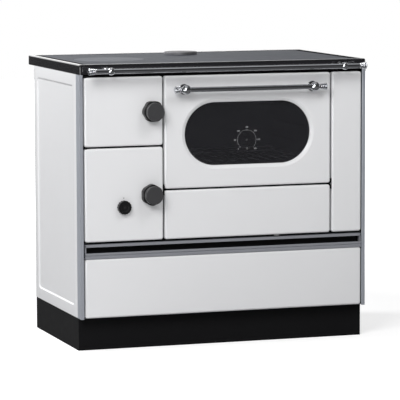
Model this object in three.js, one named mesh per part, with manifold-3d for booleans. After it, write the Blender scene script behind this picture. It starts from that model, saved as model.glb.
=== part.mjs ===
// Solid-fuel range cooker: enamelled body on a plinth, firebox and ash box at the left, oven at the
// right, a drawer below and a steel cooktop with a lift-out hotplate inside a railed top frame.
// Millimetres, +Z up. The stove's own coordinates are x from its left side, y back from the fronts
// of the corner posts and z from the floor; the exported group puts the origin under its middle.

import * as THREE from "three";
import { mergeVertices } from "three/addons/utils/BufferGeometryUtils.js";
import Module from "manifold-3d";

const wasm = await Module();
wasm.setup();

// ---- Whole stove ----
const stoveWidth = 900;
const stoveHeight = 850;
const bodyDepth = 510;
const topOverhang = 67;
const sheet = 2;
const seatGap = 0.3;
const pinClearance = 0.4;

// ---- Plinth ----
const plinthHeight = 97;
const plinthSetback = 35;
const plinthInset = 1.5;
const plinthFlange = 26;

// ---- Corner posts ----
const postFace = 11;
const postDepth = 39;
const postWall = 3;
const postChamfer = 2.5;

// ---- Side panels ----
const recessMargin = 33;
const recessDepth = 3;
const recessSlope = 4;
const recessCorner = 16;

// ---- Doors, drawer and panels of the front ----
const frontFrameY = 18;
const frontFrameSheet = 3;
const doorProud = 2;
const doorDepth = 18;
const doorSheet = 1.6;
const doorEdgeRadius = 6;
const doorCornerRadius = 7;
const leastCornerRadius = 0.4;
const doorGap = 5.5;
const frontMargin = 14;
const doorTopGap = 8.5;
const doorBottomZ = 326;
const fireDoorWidth = 241;
const fireDoorHeight = 204;
const rightPanelWidth = 95;
const ovenDoorHeight = 335;
const openingLap = 20;
const ovenOpeningLap = 30;

// ---- Hinges of the front ----
const hingePinRadius = 3.2;
const hingePinReach = 4.2;
const hingeLugSheet = 2.5;
const hingeLugWidth = 14;

// ---- Door liners ----
const linerInset = 3;
const linerFront = 4;
const linerPlate = 4;
const linerRim = 4;
const linerBackGap = 0.8;

// ---- Door knobs and their latches ----
const knobFlats = 60;
const knobCorner = 64;
const knobCapDiameter = 54;
const knobHexDepth = 20;
const knobDepth = 38;
const knobBaseChamfer = 1.5;
const knobNeckDepth = 3.5;
const knobRimWidth = 2.5;
const knobRimDepth = 2;
const fireKnobEdge = 33;
const ashKnobEdge = 38;
const fireKnobHeight = 101;
const ashKnobHeight = 135.5;
const spindleRadius = 5;
const spindleBite = 14;
const tongueLap = 12;
const tongueWidth = 15;
const tongueThickness = 3.5;
const tongueGap = 1.5;

// ---- Air regulator ----
const airKnobX = 118.5;
const airKnobHeight = 101;
const airKnobRadius = 20.7;
const airKnobDepth = 14;
const airFluteCount = 16;
const airFluteDepth = 1.2;
const airFluteSteps = 4;
const airKnobChamfer = 2;
const airDiscRadius = 46;
const airDiscSheet = 2.5;
const airSlotInner = 20;
const airSlotOuter = 38;
const airSlotCount = 3;
const airSlotDegrees = 50;
const airSpindleRadius = 3;

// ---- Oven door window and thermometer ----
const windowSideMargin = 64.5;
const windowHeight = 187.5;
const windowCentreHeight = 159.25;
const windowLipDepth = 9;
const glassThickness = 4;
const glassLap = 7;
const innerWindowLap = 10;
const dialDrop = 21.5;
const dialShift = -2;
const needleLength = 26;
const needleTail = 7;
const needleWidth = 2.4;
const needleSheet = 0.8;
const needlePinRadius = 1.8;
const needleCapRadius = 3;
const needleRestDegrees = -135;

// ---- Catch under the panel below the oven door ----
const catchX = 347;
const catchWidth = 14;
const catchDrop = 3.5;
const catchSheet = 1.6;
const catchFront = 3;
const catchBack = 14;

// ---- Bars: the oven door handle and the front rail ----
const barDiameter = 15;
const barWall = 1.5;
const finialLength = 26;
const finialRings = 4;
const finialRingRadius = 8.6;
const finialRingGrowth = 0.8;
const finialRingCrown = 0.35;
const finialRingShare = 0.7;
const finialFirstRing = 0.8;
const finialGrooveRadius = 6.6;
const handleEndInset = 21.5;
const handleHeight = 294.5;
const handleStandoff = 27;
const handleBallInset = 38;
const handleBallRadius = 14.5;
const handleNeckRadius = 6.5;
const handleRoseRadius = 16;
const railEndInset = 14.5;
const railHeight = 11.5;
const railStandoff = 43;
const railBallInset = 70;
const railBallRadius = 11.5;
const railNeckRadius = 5;
const railRoseRadius = 10.5;
const roseThickness = 2.5;

// ---- Finger slot, drawer ----
const slotTrimTop = 319;
const slotTrimHeight = 8;
const slotTrimWall = 2;
const slotHeight = 17.5;
const slotCheek = 3;
const gripWall = 3.5;
const gripBase = 2.3;
const gripHeight = 17;
const gripGroove = 2;
const gripGrooveBottom = 6.8;
const gripGrooveTop = 11;
const drawerFrontBottom = 100.5;
const drawerBackGap = 51.7;
const drawerBoxSheet = 1.5;
const drawerSideGap = 9;
const drawerTopGap = 10;
const runnerWidth = 26;
const runnerLip = 16;
const drawerRunGap = 0.5;

// ---- Top frame and cooktop ----
const frameBarHeight = 30;
const frameBarWidth = 11;
const frameRearWidth = 37;
const frameEdgeRadius = 4;
const frameJointY = 446;
const ledgeReach = 20;
const ledgeSheet = 3;
const plateThickness = 6;
const plateDrop = 1;
const plateSideGap = 9;
const plateRearGap = 3;
const edgeSteps = 3;

// ---- Hotplate ----
const hotplateX = 170;
const hotplateY = 268;
const hotplateRadius = 107;
const hotplateLidRadius = 72;
const hotplateStep = 7;
const hotplateStepDepth = 3;
const hotplateGap = 0.6;

// ---- Flue collar ----
const flueX = 460;
const flueY = 455;
const flueBore = 46;
const flueWall = 3.7;
const flueSleeve = 24;
const flueFlange = 2.5;
const flueFlangeRadius = 52;
const flueCapThickness = 5;
const flueCapSpigot = 5;
const flueCapInset = 1;
const flueCapBevelWidth = 2;
const flueCapBevelHeight = 1;

// ---- Firebox ----
const bayRoofZ = 300;
const casingX = 24;
const casingWidth = 232;
const casingDepth = 420;
const casingWall = 3;
const casingTopGap = 3;
const casingOutletRise = 8;
const hearthDrop = 19.5;
const hearthSheet = 4;
const brickThickness = 29;
const brickHeight = 188;
const brickFront = 14;
const grateWidth = 160;
const grateLength = 270;
const grateThickness = 14;
const grateFront = 40;
const grateSeat = 7;
const grateSlotWidth = 9;
const grateBarWidth = 11;
const ashPanWidth = 186;
const ashPanLength = 350;
const ashPanHeight = 74;
const ashPanSheet = 1.5;
const ashPanFront = 20;
const ashPullWidth = 80;
const ashPullReach = 14;
const ashPullHeight = 14;
const ashPullDrop = 10;

// ---- Oven ----
const ovenDepth = 418;
const ovenFlange = 10;
const ovenLedgeReach = 9;
const ovenLedgeHeight = 3;
const ovenLedgeFirst = 32;
const ovenLedgePitch = 50;
const ovenLedgeCount = 3;
const ovenLedgeInset = 16;
const rackWire = 2.5;
const rackCrossWire = 1.5;
const rackCrossCount = 11;
const rackSideGap = 2;
const rackStopHeight = 12;

// ---- Rear smoke duct ----
const ductWidth = 160;
const ductWall = 2;
const ductTopDrop = 32;
const ductInletHeight = 150;

// ---- Places worked out from the sizes above ----
const plinthTop = plinthHeight + seatGap;
const frameBottom = stoveHeight - frameBarHeight;
const bodyTop = frameBottom - seatGap;
const baseTop = plinthTop + sheet;
const innerLeft = sheet + seatGap;
const innerRight = stoveWidth - innerLeft;
const faceY = -doorProud;
const frontFrameBack = frontFrameY + frontFrameSheet;
const behindFrame = frontFrameBack + seatGap;
const doorTopZ = frameBottom - doorTopGap;
const leftDoorX = frontMargin;
const ovenDoorX = leftDoorX + fireDoorWidth + doorGap;
const rightPanelX = stoveWidth - frontMargin - rightPanelWidth;
const ovenDoorWidth = rightPanelX - doorGap - ovenDoorX;
const fireDoorZ = doorTopZ - fireDoorHeight;
const ashDoorHeight = fireDoorZ - doorGap - doorBottomZ;
const ovenDoorZ = doorTopZ - ovenDoorHeight;
const lowerPanelHeight = ovenDoorZ - doorGap - doorBottomZ;
const drawerWidth = stoveWidth - 2 * frontMargin;
const slotTop = slotTrimTop - slotTrimHeight;
const gripTop = slotTop - slotHeight;
const gripBottom = gripTop - gripHeight;
const drawerFrontHeight = gripBottom - seatGap - drawerFrontBottom;
const plateTop = stoveHeight - plateDrop;
const plateBottom = plateTop - plateThickness;
const ledgeTop = plateBottom - seatGap;
const topDepth = bodyDepth + topOverhang;
const fullTurn = Math.PI * 2;

// ---- Materials ----
function metal(color, roughness, metalness) {
  return new THREE.MeshStandardMaterial({ color, roughness, metalness });
}

const whiteEnamel = metal(0xe6e7e9, 0.25, 0.0);
const blackEnamel = metal(0x1b1c1e, 0.2, 0.2);
const blackPaint = metal(0x161617, 0.75, 0.1);
const satinAluminium = metal(0x8f949b, 0.4, 0.9);
const chrome = metal(0xc9ccd0, 0.1, 1.0);
const hotSteel = metal(0x6d7078, 0.45, 0.85);
const castIron = metal(0x3a3b3d, 0.7, 0.6);
const knobPlastic = metal(0x3f4043, 0.55, 0.0);
const blackPlastic = metal(0x121213, 0.5, 0.0);
const galvanised = metal(0x8a8d90, 0.5, 0.8);
const firebrick = metal(0xb9a68a, 0.9, 0.0);
const ovenEnamel = metal(0x222326, 0.3, 0.1);
const printWhite = metal(0xd9d9d9, 0.5, 0.2);
const darkGlass = metal(0x101113, 0.05, 0.0);

// ---- Solid building ----

// A closed mesh with merged corners as a solid. Faces are turned round where the mesh is inside out.
function solidOf(geometry) {
  const bare = geometry.clone();
  bare.deleteAttribute("normal");
  bare.deleteAttribute("uv");
  const merged = mergeVertices(bare, 1e-4);
  const points = merged.attributes.position;
  const triangles = Uint32Array.from(merged.index.array);
  const [a, b, c] = [new THREE.Vector3(), new THREE.Vector3(), new THREE.Vector3()];
  let volume = 0;
  for (let i = 0; i < triangles.length; i += 3) {
    a.fromBufferAttribute(points, triangles[i]);
    b.fromBufferAttribute(points, triangles[i + 1]);
    c.fromBufferAttribute(points, triangles[i + 2]);
    volume += a.dot(b.cross(c));
  }
  if (volume < 0) {
    for (let i = 0; i < triangles.length; i += 3) {
      [triangles[i + 1], triangles[i + 2]] = [triangles[i + 2], triangles[i + 1]];
    }
  }
  const mesh = new wasm.Mesh({
    numProp: 3,
    vertProperties: Float32Array.from(points.array),
    triVerts: triangles,
  });
  return new wasm.Manifold(mesh);
}

function geometryOf(solid) {
  const mesh = solid.getMesh();
  const geometry = new THREE.BufferGeometry();
  geometry.setAttribute("position", new THREE.BufferAttribute(Float32Array.from(mesh.vertProperties), 3));
  geometry.setIndex(new THREE.BufferAttribute(Uint32Array.from(mesh.triVerts), 1));
  geometry.computeVertexNormals();
  return geometry;
}

function named(name, solid, material) {
  const mesh = new THREE.Mesh(geometryOf(solid), material);
  mesh.name = name;
  return mesh;
}

function groupAt(x, y, z, ...children) {
  const group = new THREE.Group();
  group.position.set(x, y, z);
  group.add(...children);
  return group;
}

const joined = (...solids) => solids.reduce((sum, next) => sum.add(next));
const cut = (solid, ...tools) => tools.reduce((rest, tool) => rest.subtract(tool), solid);

function block(x0, x1, y0, y1, z0, z1) {
  const geometry = new THREE.BoxGeometry(x1 - x0, y1 - y0, z1 - z0);
  return solidOf(geometry.translate((x0 + x1) / 2, (y0 + y1) / 2, (z0 + z1) / 2));
}

// The matrix that sends an outline's (u, v) and its depth w along the named axis.
function axisFrame(axis) {
  const [x, y, z] = [new THREE.Vector3(1, 0, 0), new THREE.Vector3(0, 1, 0), new THREE.Vector3(0, 0, 1)];
  const frames = { x: [y, z, x], y: [x, z, y], z: [x, y, z] };
  return new THREE.Matrix4().makeBasis(...frames[axis]);
}

// An outline of [u, v] points, less its holes, from one place to another along an axis.
function prism(outline, axis, from, to, holes = []) {
  const shape = new THREE.Shape(outline.map(([u, v]) => new THREE.Vector2(u, v)));
  const geometry = new THREE.ExtrudeGeometry(shape, { depth: to - from, bevelEnabled: false });
  geometry.translate(0, 0, from);
  const solid = solidOf(geometry.applyMatrix4(axisFrame(axis)));
  return cut(solid, ...holes.map((hole) => prism(hole, axis, from - 1, to + 1)));
}

// A turned piece: [radius, place] points about an axis through (a, b) across it.
function turned(profile, axis, a, b, segments = 32) {
  const points = profile.map(([radius, place]) => new THREE.Vector2(radius, place));
  const geometry = new THREE.LatheGeometry(points, segments);
  geometry.rotateX(Math.PI / 2);
  const centre = { x: [0, a, b], y: [a, 0, b], z: [a, b, 0] }[axis];
  const frame = axisFrame(axis).setPosition(...centre);
  return solidOf(geometry.applyMatrix4(frame));
}

function rod(radius, axis, a, b, from, to, segments = 20) {
  return turned([[0, from], [radius, from], [radius, to], [0, to]], axis, a, b, segments);
}

function rectangle(u0, u1, v0, v1) {
  return [[u0, v0], [u1, v0], [u1, v1], [u0, v1]];
}

function roundedRectangle(u0, u1, v0, v1, radius, steps = 3) {
  const corners = [
    [u1 - radius, v1 - radius, 0],
    [u0 + radius, v1 - radius, 1],
    [u0 + radius, v0 + radius, 2],
    [u1 - radius, v0 + radius, 3],
  ];
  return corners.flatMap(([u, v, quarter]) =>
    Array.from({ length: steps + 1 }, (_, step) => {
      const angle = (quarter + step / steps) * (Math.PI / 2);
      return [u + radius * Math.cos(angle), v + radius * Math.sin(angle)];
    }),
  );
}

// A slot shape with full half-circle ends, about its centre.
function stadium(u, v, width, height, steps = 12) {
  return roundedRectangle(u - width / 2, u + width / 2, v - height / 2, v + height / 2, height / 2, steps);
}

// Outlines with equal numbers of points, joined one to the next along an axis and closed at both ends.
function loft(sections, axis) {
  const count = sections[0].outline.length;
  const points = [];
  const index = [];
  for (const { outline, place } of sections) {
    outline.forEach(([u, v]) => points.push(u, v, place));
  }
  for (const end of [0, sections.length - 1]) {
    const { outline, place } = sections[end];
    const u = outline.reduce((sum, point) => sum + point[0], 0) / count;
    const v = outline.reduce((sum, point) => sum + point[1], 0) / count;
    points.push(u, v, place);
  }
  const middle = count * sections.length;
  const last = count * (sections.length - 1);
  for (let i = 0; i < count; i += 1) {
    const next = (i + 1) % count;
    for (let row = 0; row < last; row += count) {
      index.push(row + i, row + next, row + count + next);
      index.push(row + i, row + count + next, row + count + i);
    }
    index.push(middle, next, i);
    index.push(middle + 1, last + i, last + next);
  }
  const geometry = new THREE.BufferGeometry();
  geometry.setAttribute("position", new THREE.Float32BufferAttribute(points, 3));
  geometry.setIndex(index);
  return solidOf(geometry.applyMatrix4(axisFrame(axis)));
}

// A rounded block whose face edge at y0 rolls over by edgeRadius, inset all round from width by height.
function rolledBlock(width, height, inset, y0, y1, edgeRadius, cornerRadius, steps = 3) {
  const sections = [];
  for (let step = 0; step <= steps; step += 1) {
    const angle = (step / steps) * (Math.PI / 2);
    const pull = inset + edgeRadius * (1 - Math.sin(angle));
    const corner = Math.max(cornerRadius - (pull - inset), leastCornerRadius);
    const outline = roundedRectangle(pull, width - pull, pull, height - pull, corner);
    sections.push({ outline, place: y0 + edgeRadius * (1 - Math.cos(angle)) });
  }
  sections.push({ outline: sections[steps].outline, place: y1 });
  return loft(sections, "y");
}

// A pressed pan, open at the back: its face at y 0, its lower left corner at x 0, z 0.
function pressedPan(width, height, depth = doorDepth) {
  const outside = rolledBlock(width, height, 0, 0, depth, doorEdgeRadius, doorCornerRadius);
  const innerEdge = doorEdgeRadius - doorSheet;
  const innerCorner = doorCornerRadius - doorSheet;
  const inside = rolledBlock(width, height, doorSheet, doorSheet, depth + doorSheet, innerEdge, innerCorner);
  return cut(outside, inside);
}

// ---- Body ----

function plinth() {
  const x1 = stoveWidth - plinthInset;
  const outer = block(plinthInset, x1, plinthSetback, bodyDepth, 0, plinthHeight);
  const inset = plinthInset + sheet;
  const cavity = block(
    inset, stoveWidth - inset, plinthSetback + sheet, bodyDepth - sheet, sheet, plinthHeight - sheet,
  );
  const reach = plinthInset + plinthFlange;
  const well = block(
    reach, stoveWidth - reach, plinthSetback + plinthFlange, bodyDepth - plinthFlange, -1, plinthHeight + 1,
  );
  return named("plinth", cut(outer, cavity, well), blackPaint);
}

function basePlate() {
  const back = bodyDepth - sheet - seatGap;
  return named("base_plate", block(innerLeft, innerRight, frontFrameY, back, plinthTop, baseTop), galvanised);
}

function backPanel() {
  const panel = block(innerLeft, innerRight, bodyDepth - sheet, bodyDepth, plinthTop, bodyTop);
  return named("back_panel", panel, galvanised);
}

// Side panel with its pressed recess; mirrored puts it on the right.
function sidePanel(name, mirrored) {
  const front = postDepth + seatGap;
  const skin = block(0, sheet, front, bodyDepth, plinthTop, bodyTop);
  const pressing = (extra, x0, x1) => {
    const outline = (pull) =>
      roundedRectangle(
        front + recessMargin + pull, bodyDepth - recessMargin - pull,
        plinthTop + recessMargin + pull, bodyTop - recessMargin - pull,
        recessCorner - pull,
      );
    const sections = [
      { outline: outline(-extra), place: x0 },
      { outline: outline(-extra), place: 0 },
      { outline: outline(recessSlope - extra), place: x1 },
    ];
    return loft(x0 < 0 ? sections : sections.slice(1), "x");
  };
  const panel = cut(joined(skin, pressing(sheet, 0, recessDepth + sheet)), pressing(0, -1, recessDepth));
  return named(name, mirrored ? acrossStove(panel) : panel, whiteEnamel);
}

// The same solid on the other side of the stove.
function acrossStove(solid) {
  const geometry = geometryOf(solid);
  geometry.scale(-1, 1, 1).translate(stoveWidth, 0, 0);
  return solidOf(geometry);
}

function cornerPost(name, mirrored) {
  const section = [
    [0, 0],
    [postFace - postChamfer, 0],
    [postFace, postChamfer],
    [postFace, postWall + 1],
    [postFace - postWall, postWall],
    [sheet, postWall],
    [sheet, postDepth],
    [0, postDepth],
  ];
  const post = prism(section, "z", plinthTop, bodyTop);
  return named(name, mirrored ? acrossStove(post) : post, satinAluminium);
}

// The openings of the front frame as rectangles, each lapped by the door or panel before it.
function frontOpenings() {
  const lapped = (x, width, z, height, lap) =>
    rectangle(x + lap, x + width - lap, z + lap, z + height - lap);
  const drawer = rectangle(
    frontMargin + drawerSideGap / 2, stoveWidth - frontMargin - drawerSideGap / 2,
    baseTop + seatGap + sheet, gripBottom + drawerTopGap / 2,
  );
  return [
    lapped(leftDoorX, fireDoorWidth, fireDoorZ, fireDoorHeight, openingLap),
    lapped(leftDoorX, fireDoorWidth, doorBottomZ, ashDoorHeight, openingLap),
    lapped(ovenDoorX, ovenDoorWidth, ovenDoorZ, ovenDoorHeight, ovenOpeningLap),
    lapped(ovenDoorX, ovenDoorWidth, doorBottomZ, lowerPanelHeight, openingLap),
    drawer,
  ];
}

// Hinge lugs in the gaps round the doors, each holding the end of a hinge rod.
function hingeLugs() {
  const axisY = faceY + doorEdgeRadius;
  const hole = hingePinRadius + pinClearance;
  const front = faceY + doorSheet;
  const flat = (z) => {
    const x = leftDoorX + doorEdgeRadius;
    const plate = block(leftDoorX, leftDoorX + hingeLugWidth, front, frontFrameY + 1, z, z + hingeLugSheet);
    return cut(plate, rod(hole, "z", x, axisY, z - 1, z + hingeLugSheet + 1));
  };
  const upright = (x, z) => {
    const half = hingeLugWidth / 2;
    const plate = block(x, x + hingeLugSheet, front, frontFrameY + 1, z - half, z + half);
    return cut(plate, rod(hole, "x", axisY, z, x - 1, x + hingeLugSheet + 1));
  };
  const inGap = (doorGap - hingeLugSheet) / 2;
  const ovenSides = [ovenDoorX - doorGap + inGap, ovenDoorX + ovenDoorWidth + inGap];
  const flapZ = doorBottomZ + lowerPanelHeight - doorEdgeRadius;
  return [
    flat(doorTopZ + inGap),
    flat(fireDoorZ - doorGap + inGap),
    flat(doorBottomZ - inGap - hingeLugSheet),
    ...ovenSides.map((x) => upright(x, ovenDoorZ + doorEdgeRadius)),
    ...ovenSides.map((x) => upright(x, flapZ)),
  ];
}

function frontFrame() {
  const outline = rectangle(innerLeft, innerRight, baseTop + seatGap, bodyTop);
  const plate = prism(outline, "y", frontFrameY, frontFrameBack, frontOpenings());
  return named("front_frame", joined(plate, ...hingeLugs()), blackPaint);
}

function rightPanel() {
  const depth = frontFrameY - faceY - seatGap;
  const panel = named("right_panel", pressedPan(rightPanelWidth, doorTopZ - doorBottomZ, depth), whiteEnamel);
  return groupAt(rightPanelX, faceY, doorBottomZ, panel);
}

// Aluminium trim over the finger slot, with a cheek at each end of the slot.
function slotTrim() {
  const back = frontFrameY - seatGap;
  const section = [
    [0, slotTop],
    [slotTrimWall, slotTop],
    [slotTrimWall, slotTrimTop - slotTrimWall],
    [back, slotTrimTop - slotTrimWall],
    [back, slotTrimTop],
    [0, slotTrimTop],
  ];
  const right = stoveWidth - frontMargin;
  const bar = prism(section, "x", frontMargin, right);
  const cheek = (x) => block(x, x + slotCheek, 0, back, gripTop + seatGap, slotTrimTop - slotTrimWall / 2);
  return named("slot_trim", joined(bar, cheek(frontMargin), cheek(right - slotCheek)), satinAluminium);
}

// ---- Top frame, cooktop and flue ----

// Section of a frame bar, inward distance by height, with its ledge for the cooktop.
function frameSection(width) {
  const arc = Array.from({ length: edgeSteps + 1 }, (_, step) => {
    const angle = (step / edgeSteps) * (Math.PI / 2);
    const inward = frameEdgeRadius * (1 - Math.sin(angle));
    return [inward, stoveHeight - frameEdgeRadius * (1 - Math.cos(angle))];
  });
  return [
    [0, frameBottom],
    [width, frameBottom],
    [width, ledgeTop - ledgeSheet],
    [width + ledgeReach, ledgeTop - ledgeSheet],
    [width + ledgeReach, ledgeTop],
    [width, ledgeTop],
    [width, stoveHeight],
    ...arc,
  ];
}

function topFrame() {
  const mirrorOf = (section, size) => section.map(([inward, z]) => [size - inward, z]);
  const section = frameSection(frameBarWidth);
  const reach = frameBarWidth + ledgeReach + seatGap;
  const below = frameBottom - 1;
  const above = stoveHeight + 1;
  const cornerBlock = (x) => block(x - reach, x + reach, frameBarWidth, reach, below, above);
  const front = cut(prism(section, "x", 0, stoveWidth), cornerBlock(0), cornerBlock(stoveWidth));
  const sideFront = frameBarWidth + seatGap;
  const left = prism(section, "y", sideFront, frameJointY - seatGap);
  const right = prism(mirrorOf(section, stoveWidth), "y", sideFront, frameJointY - seatGap);
  const rear = joined(
    prism(section, "y", frameJointY, topDepth - frameRearWidth / 2),
    prism(mirrorOf(section, stoveWidth), "y", frameJointY, topDepth - frameRearWidth / 2),
    prism(mirrorOf(frameSection(frameRearWidth), topDepth), "x", 0, stoveWidth),
  );
  return [
    named("top_frame_front", front, blackEnamel),
    named("top_frame_left", left, blackEnamel),
    named("top_frame_right", right, blackEnamel),
    named("top_frame_rear", rear, blackEnamel),
  ];
}

function cooktopPlate() {
  const x0 = frameBarWidth + plateSideGap;
  const back = topDepth - frameRearWidth - plateRearGap;
  const plate = block(x0, stoveWidth - x0, x0, back, plateBottom, plateTop);
  const well = turned(
    [
      [0, plateBottom - 1],
      [hotplateRadius - hotplateStep + hotplateGap, plateBottom - 1],
      [hotplateRadius - hotplateStep + hotplateGap, plateTop - hotplateStepDepth],
      [hotplateRadius + hotplateGap, plateTop - hotplateStepDepth],
      [hotplateRadius + hotplateGap, plateTop + 1],
      [0, plateTop + 1],
    ],
    "z", hotplateX, hotplateY, 40,
  );
  const sleeveHole = flueBore + flueWall + seatGap;
  const flueHole = rod(sleeveHole, "z", flueX, flueY, plateBottom - 1, plateTop + 1, 32);
  return named("cooktop_plate", cut(plate, well, flueHole), hotSteel);
}

function hotplateRing() {
  const seat = plateTop - hotplateStepDepth + seatGap;
  const lidSeat = plateTop - hotplateStepDepth;
  const ring = turned(
    [
      [hotplateLidRadius - hotplateStep + hotplateGap, plateBottom],
      [hotplateRadius - hotplateStep, plateBottom],
      [hotplateRadius - hotplateStep, seat],
      [hotplateRadius, seat],
      [hotplateRadius, plateTop],
      [hotplateLidRadius + hotplateGap, plateTop],
      [hotplateLidRadius + hotplateGap, lidSeat],
      [hotplateLidRadius - hotplateStep + hotplateGap, lidSeat],
      [hotplateLidRadius - hotplateStep + hotplateGap, plateBottom],
    ],
    "z", hotplateX, hotplateY, 40,
  );
  return named("hotplate_ring", ring, hotSteel);
}

function hotplateLid() {
  const seat = plateTop - hotplateStepDepth + seatGap;
  const lid = turned(
    [
      [0, plateBottom],
      [hotplateLidRadius - hotplateStep, plateBottom],
      [hotplateLidRadius - hotplateStep, seat],
      [hotplateLidRadius, seat],
      [hotplateLidRadius, plateTop],
      [0, plateTop],
    ],
    "z", hotplateX, hotplateY, 32,
  );
  return named("hotplate_lid", lid, hotSteel);
}

function flueCollar() {
  const flangeBottom = plateTop + seatGap;
  const sleeveBottom = flangeBottom - flueSleeve;
  const collar = turned(
    [
      [flueBore, sleeveBottom],
      [flueBore + flueWall, sleeveBottom],
      [flueBore + flueWall, flangeBottom],
      [flueFlangeRadius, flangeBottom],
      [flueFlangeRadius, flangeBottom + flueFlange],
      [flueBore, flangeBottom + flueFlange],
      [flueBore, sleeveBottom],
    ],
    "z", flueX, flueY, 32,
  );
  return named("flue_collar", collar, castIron);
}

function flueCap() {
  const seat = plateTop + 2 * seatGap + flueFlange;
  const top = seat + flueCapThickness;
  const rim = flueFlangeRadius - flueCapInset;
  const cap = turned(
    [
      [0, seat - flueCapSpigot],
      [flueBore - hotplateGap, seat - flueCapSpigot],
      [flueBore - hotplateGap, seat],
      [rim, seat],
      [rim, top - flueCapBevelHeight],
      [rim - flueCapBevelWidth, top],
      [0, top],
    ],
    "z", flueX, flueY, 32,
  );
  return named("flue_cap", cap, castIron);
}

// ---- Bars with ball brackets and ringed finials: the front rail and the oven door handle ----

// Turned ring end, growing ring by ring to its outer end, from inner to outer along x.
function finial(name, inner, outward) {
  const pitch = finialLength / (finialRings + 1);
  const collarEnd = pitch * (finialFirstRing - (1 - finialRingShare));
  const profile = [[0, 0], [barDiameter / 2, 0], [barDiameter / 2, collarEnd]];
  for (let ring = 0; ring < finialRings; ring += 1) {
    const start = pitch * (finialFirstRing + ring);
    const radius = finialRingRadius + finialRingGrowth * ring;
    profile.push([finialGrooveRadius, start], [radius, start + pitch * finialRingCrown]);
    profile.push([radius, start + pitch * finialRingShare]);
  }
  profile.push([finialGrooveRadius, finialLength], [0, finialLength]);
  const along = profile.map(([radius, place]) => [radius, inner + outward * place]);
  return named(name, turned(along, "x", 0, 0, 16), chrome);
}

// Wall rose, neck and ball in one casting, bored for the bar; the wall is at y standoff.
function barBracket(name, x, standoff, ballRadius, neckRadius, roseRadius) {
  const wall = standoff - seatGap;
  const start = Math.asin(neckRadius / ballRadius);
  const ball = Array.from({ length: 8 }, (_, step) => {
    const angle = start + (step / 7) * (Math.PI - start);
    return [ballRadius * Math.sin(angle), ballRadius * Math.cos(angle)];
  });
  ball[7][0] = 0;
  const profile = [
    [0, wall],
    [roseRadius, wall],
    [roseRadius, wall - roseThickness],
    [neckRadius, wall - 2 * roseThickness],
    ...ball,
  ];
  const casting = turned(profile, "y", x, 0, 16);
  const bore = rod(barDiameter / 2 + seatGap, "x", 0, 0, x - ballRadius - 1, x + ballRadius + 1, 20);
  return named(name, cut(casting, bore), chrome);
}

function barTube(name, halfLength) {
  const outer = barDiameter / 2;
  const inner = outer - barWall;
  const profile = [
    [inner, -halfLength],
    [outer, -halfLength],
    [outer, halfLength],
    [inner, halfLength],
    [inner, -halfLength],
  ];
  return named(name, turned(profile, "x", 0, 0, 20), chrome);
}

// A whole bar about its middle, on the bar's axis.
function bar(prefix, length, ballInset, standoff, ballRadius, neckRadius, roseRadius) {
  const half = length / 2 - finialLength;
  const ballX = length / 2 - ballInset;
  const bracket = (side, x) =>
    barBracket(`${prefix}_bracket_${side}`, x, standoff, ballRadius, neckRadius, roseRadius);
  return [
    barTube(`${prefix}_tube`, half - seatGap),
    bracket("left", -ballX),
    bracket("right", ballX),
    finial(`${prefix}_finial_left`, -half, -1),
    finial(`${prefix}_finial_right`, half, 1),
  ];
}

function frontRail() {
  const length = stoveWidth - 2 * railEndInset;
  const pieces = bar(
    "rail", length, railBallInset, railStandoff, railBallRadius, railNeckRadius, railRoseRadius,
  );
  return groupAt(stoveWidth / 2, -railStandoff, frameBottom + railHeight, ...pieces);
}

// ---- Side-hung doors ----

// Hexagonal knob with rounded corners and a round cap, on the y axis; turn sets where a corner points.
function doorKnob(name, turn) {
  const count = 36;
  const hexagon = (shrink) =>
    Array.from({ length: count }, (_, i) => {
      const angle = (i / count) * fullTurn;
      const sector = Math.PI / 3;
      const offset = ((angle - turn) % sector + sector) % sector - sector / 2;
      const radius = Math.min(knobFlats / 2 / Math.cos(offset), knobCorner / 2) - shrink;
      return [radius * Math.cos(angle), radius * Math.sin(angle)];
    });
  const circle = (diameter) =>
    Array.from({ length: count }, (_, i) => {
      const angle = (i / count) * fullTurn;
      return [(diameter / 2) * Math.cos(angle), (diameter / 2) * Math.sin(angle)];
    });
  const sections = [
    { outline: hexagon(knobBaseChamfer), place: -seatGap },
    { outline: hexagon(0), place: -seatGap - knobBaseChamfer },
    { outline: hexagon(0), place: -knobHexDepth },
    { outline: circle(knobCapDiameter), place: -knobHexDepth - knobNeckDepth },
    { outline: circle(knobCapDiameter), place: knobRimDepth - knobDepth },
    { outline: circle(knobCapDiameter - 2 * knobRimWidth), place: -knobDepth },
  ];
  const bore = rod(spindleRadius + seatGap, "y", 0, 0, -spindleBite - seatGap, 1);
  return named(name, cut(loft(sections, "y"), bore), knobPlastic);
}

// Spindle with its tongue, which stands upright at rest and turns to lap behind the front frame's edge.
function doorLatch(name, knobEdge) {
  const tongueFront = frontFrameBack - faceY + tongueGap;
  const back = tongueFront + tongueThickness;
  const spindle = rod(spindleRadius, "y", 0, 0, -spindleBite, back);
  const half = tongueWidth / 2;
  const tongue = block(-half, half, tongueFront, back, -half, knobEdge - openingLap + tongueLap);
  return named(name, joined(spindle, tongue), galvanised);
}

const spindleHole = (x, z) => rod(spindleRadius + 1, "y", x, z, -1, frontFrameBack);
const airSpindleHole = (x, z) => rod(airSpindleRadius + 1, "y", x, z, -1, frontFrameBack);

// A plate that fills a door pan, inset all round with its corners rounded to suit.
function linerSlab(width, height, front) {
  const outline = roundedRectangle(
    linerInset, width - linerInset, linerInset, height - linerInset, doorCornerRadius - linerInset,
  );
  return prism(outline, "y", front, doorDepth - linerBackGap);
}

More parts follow.
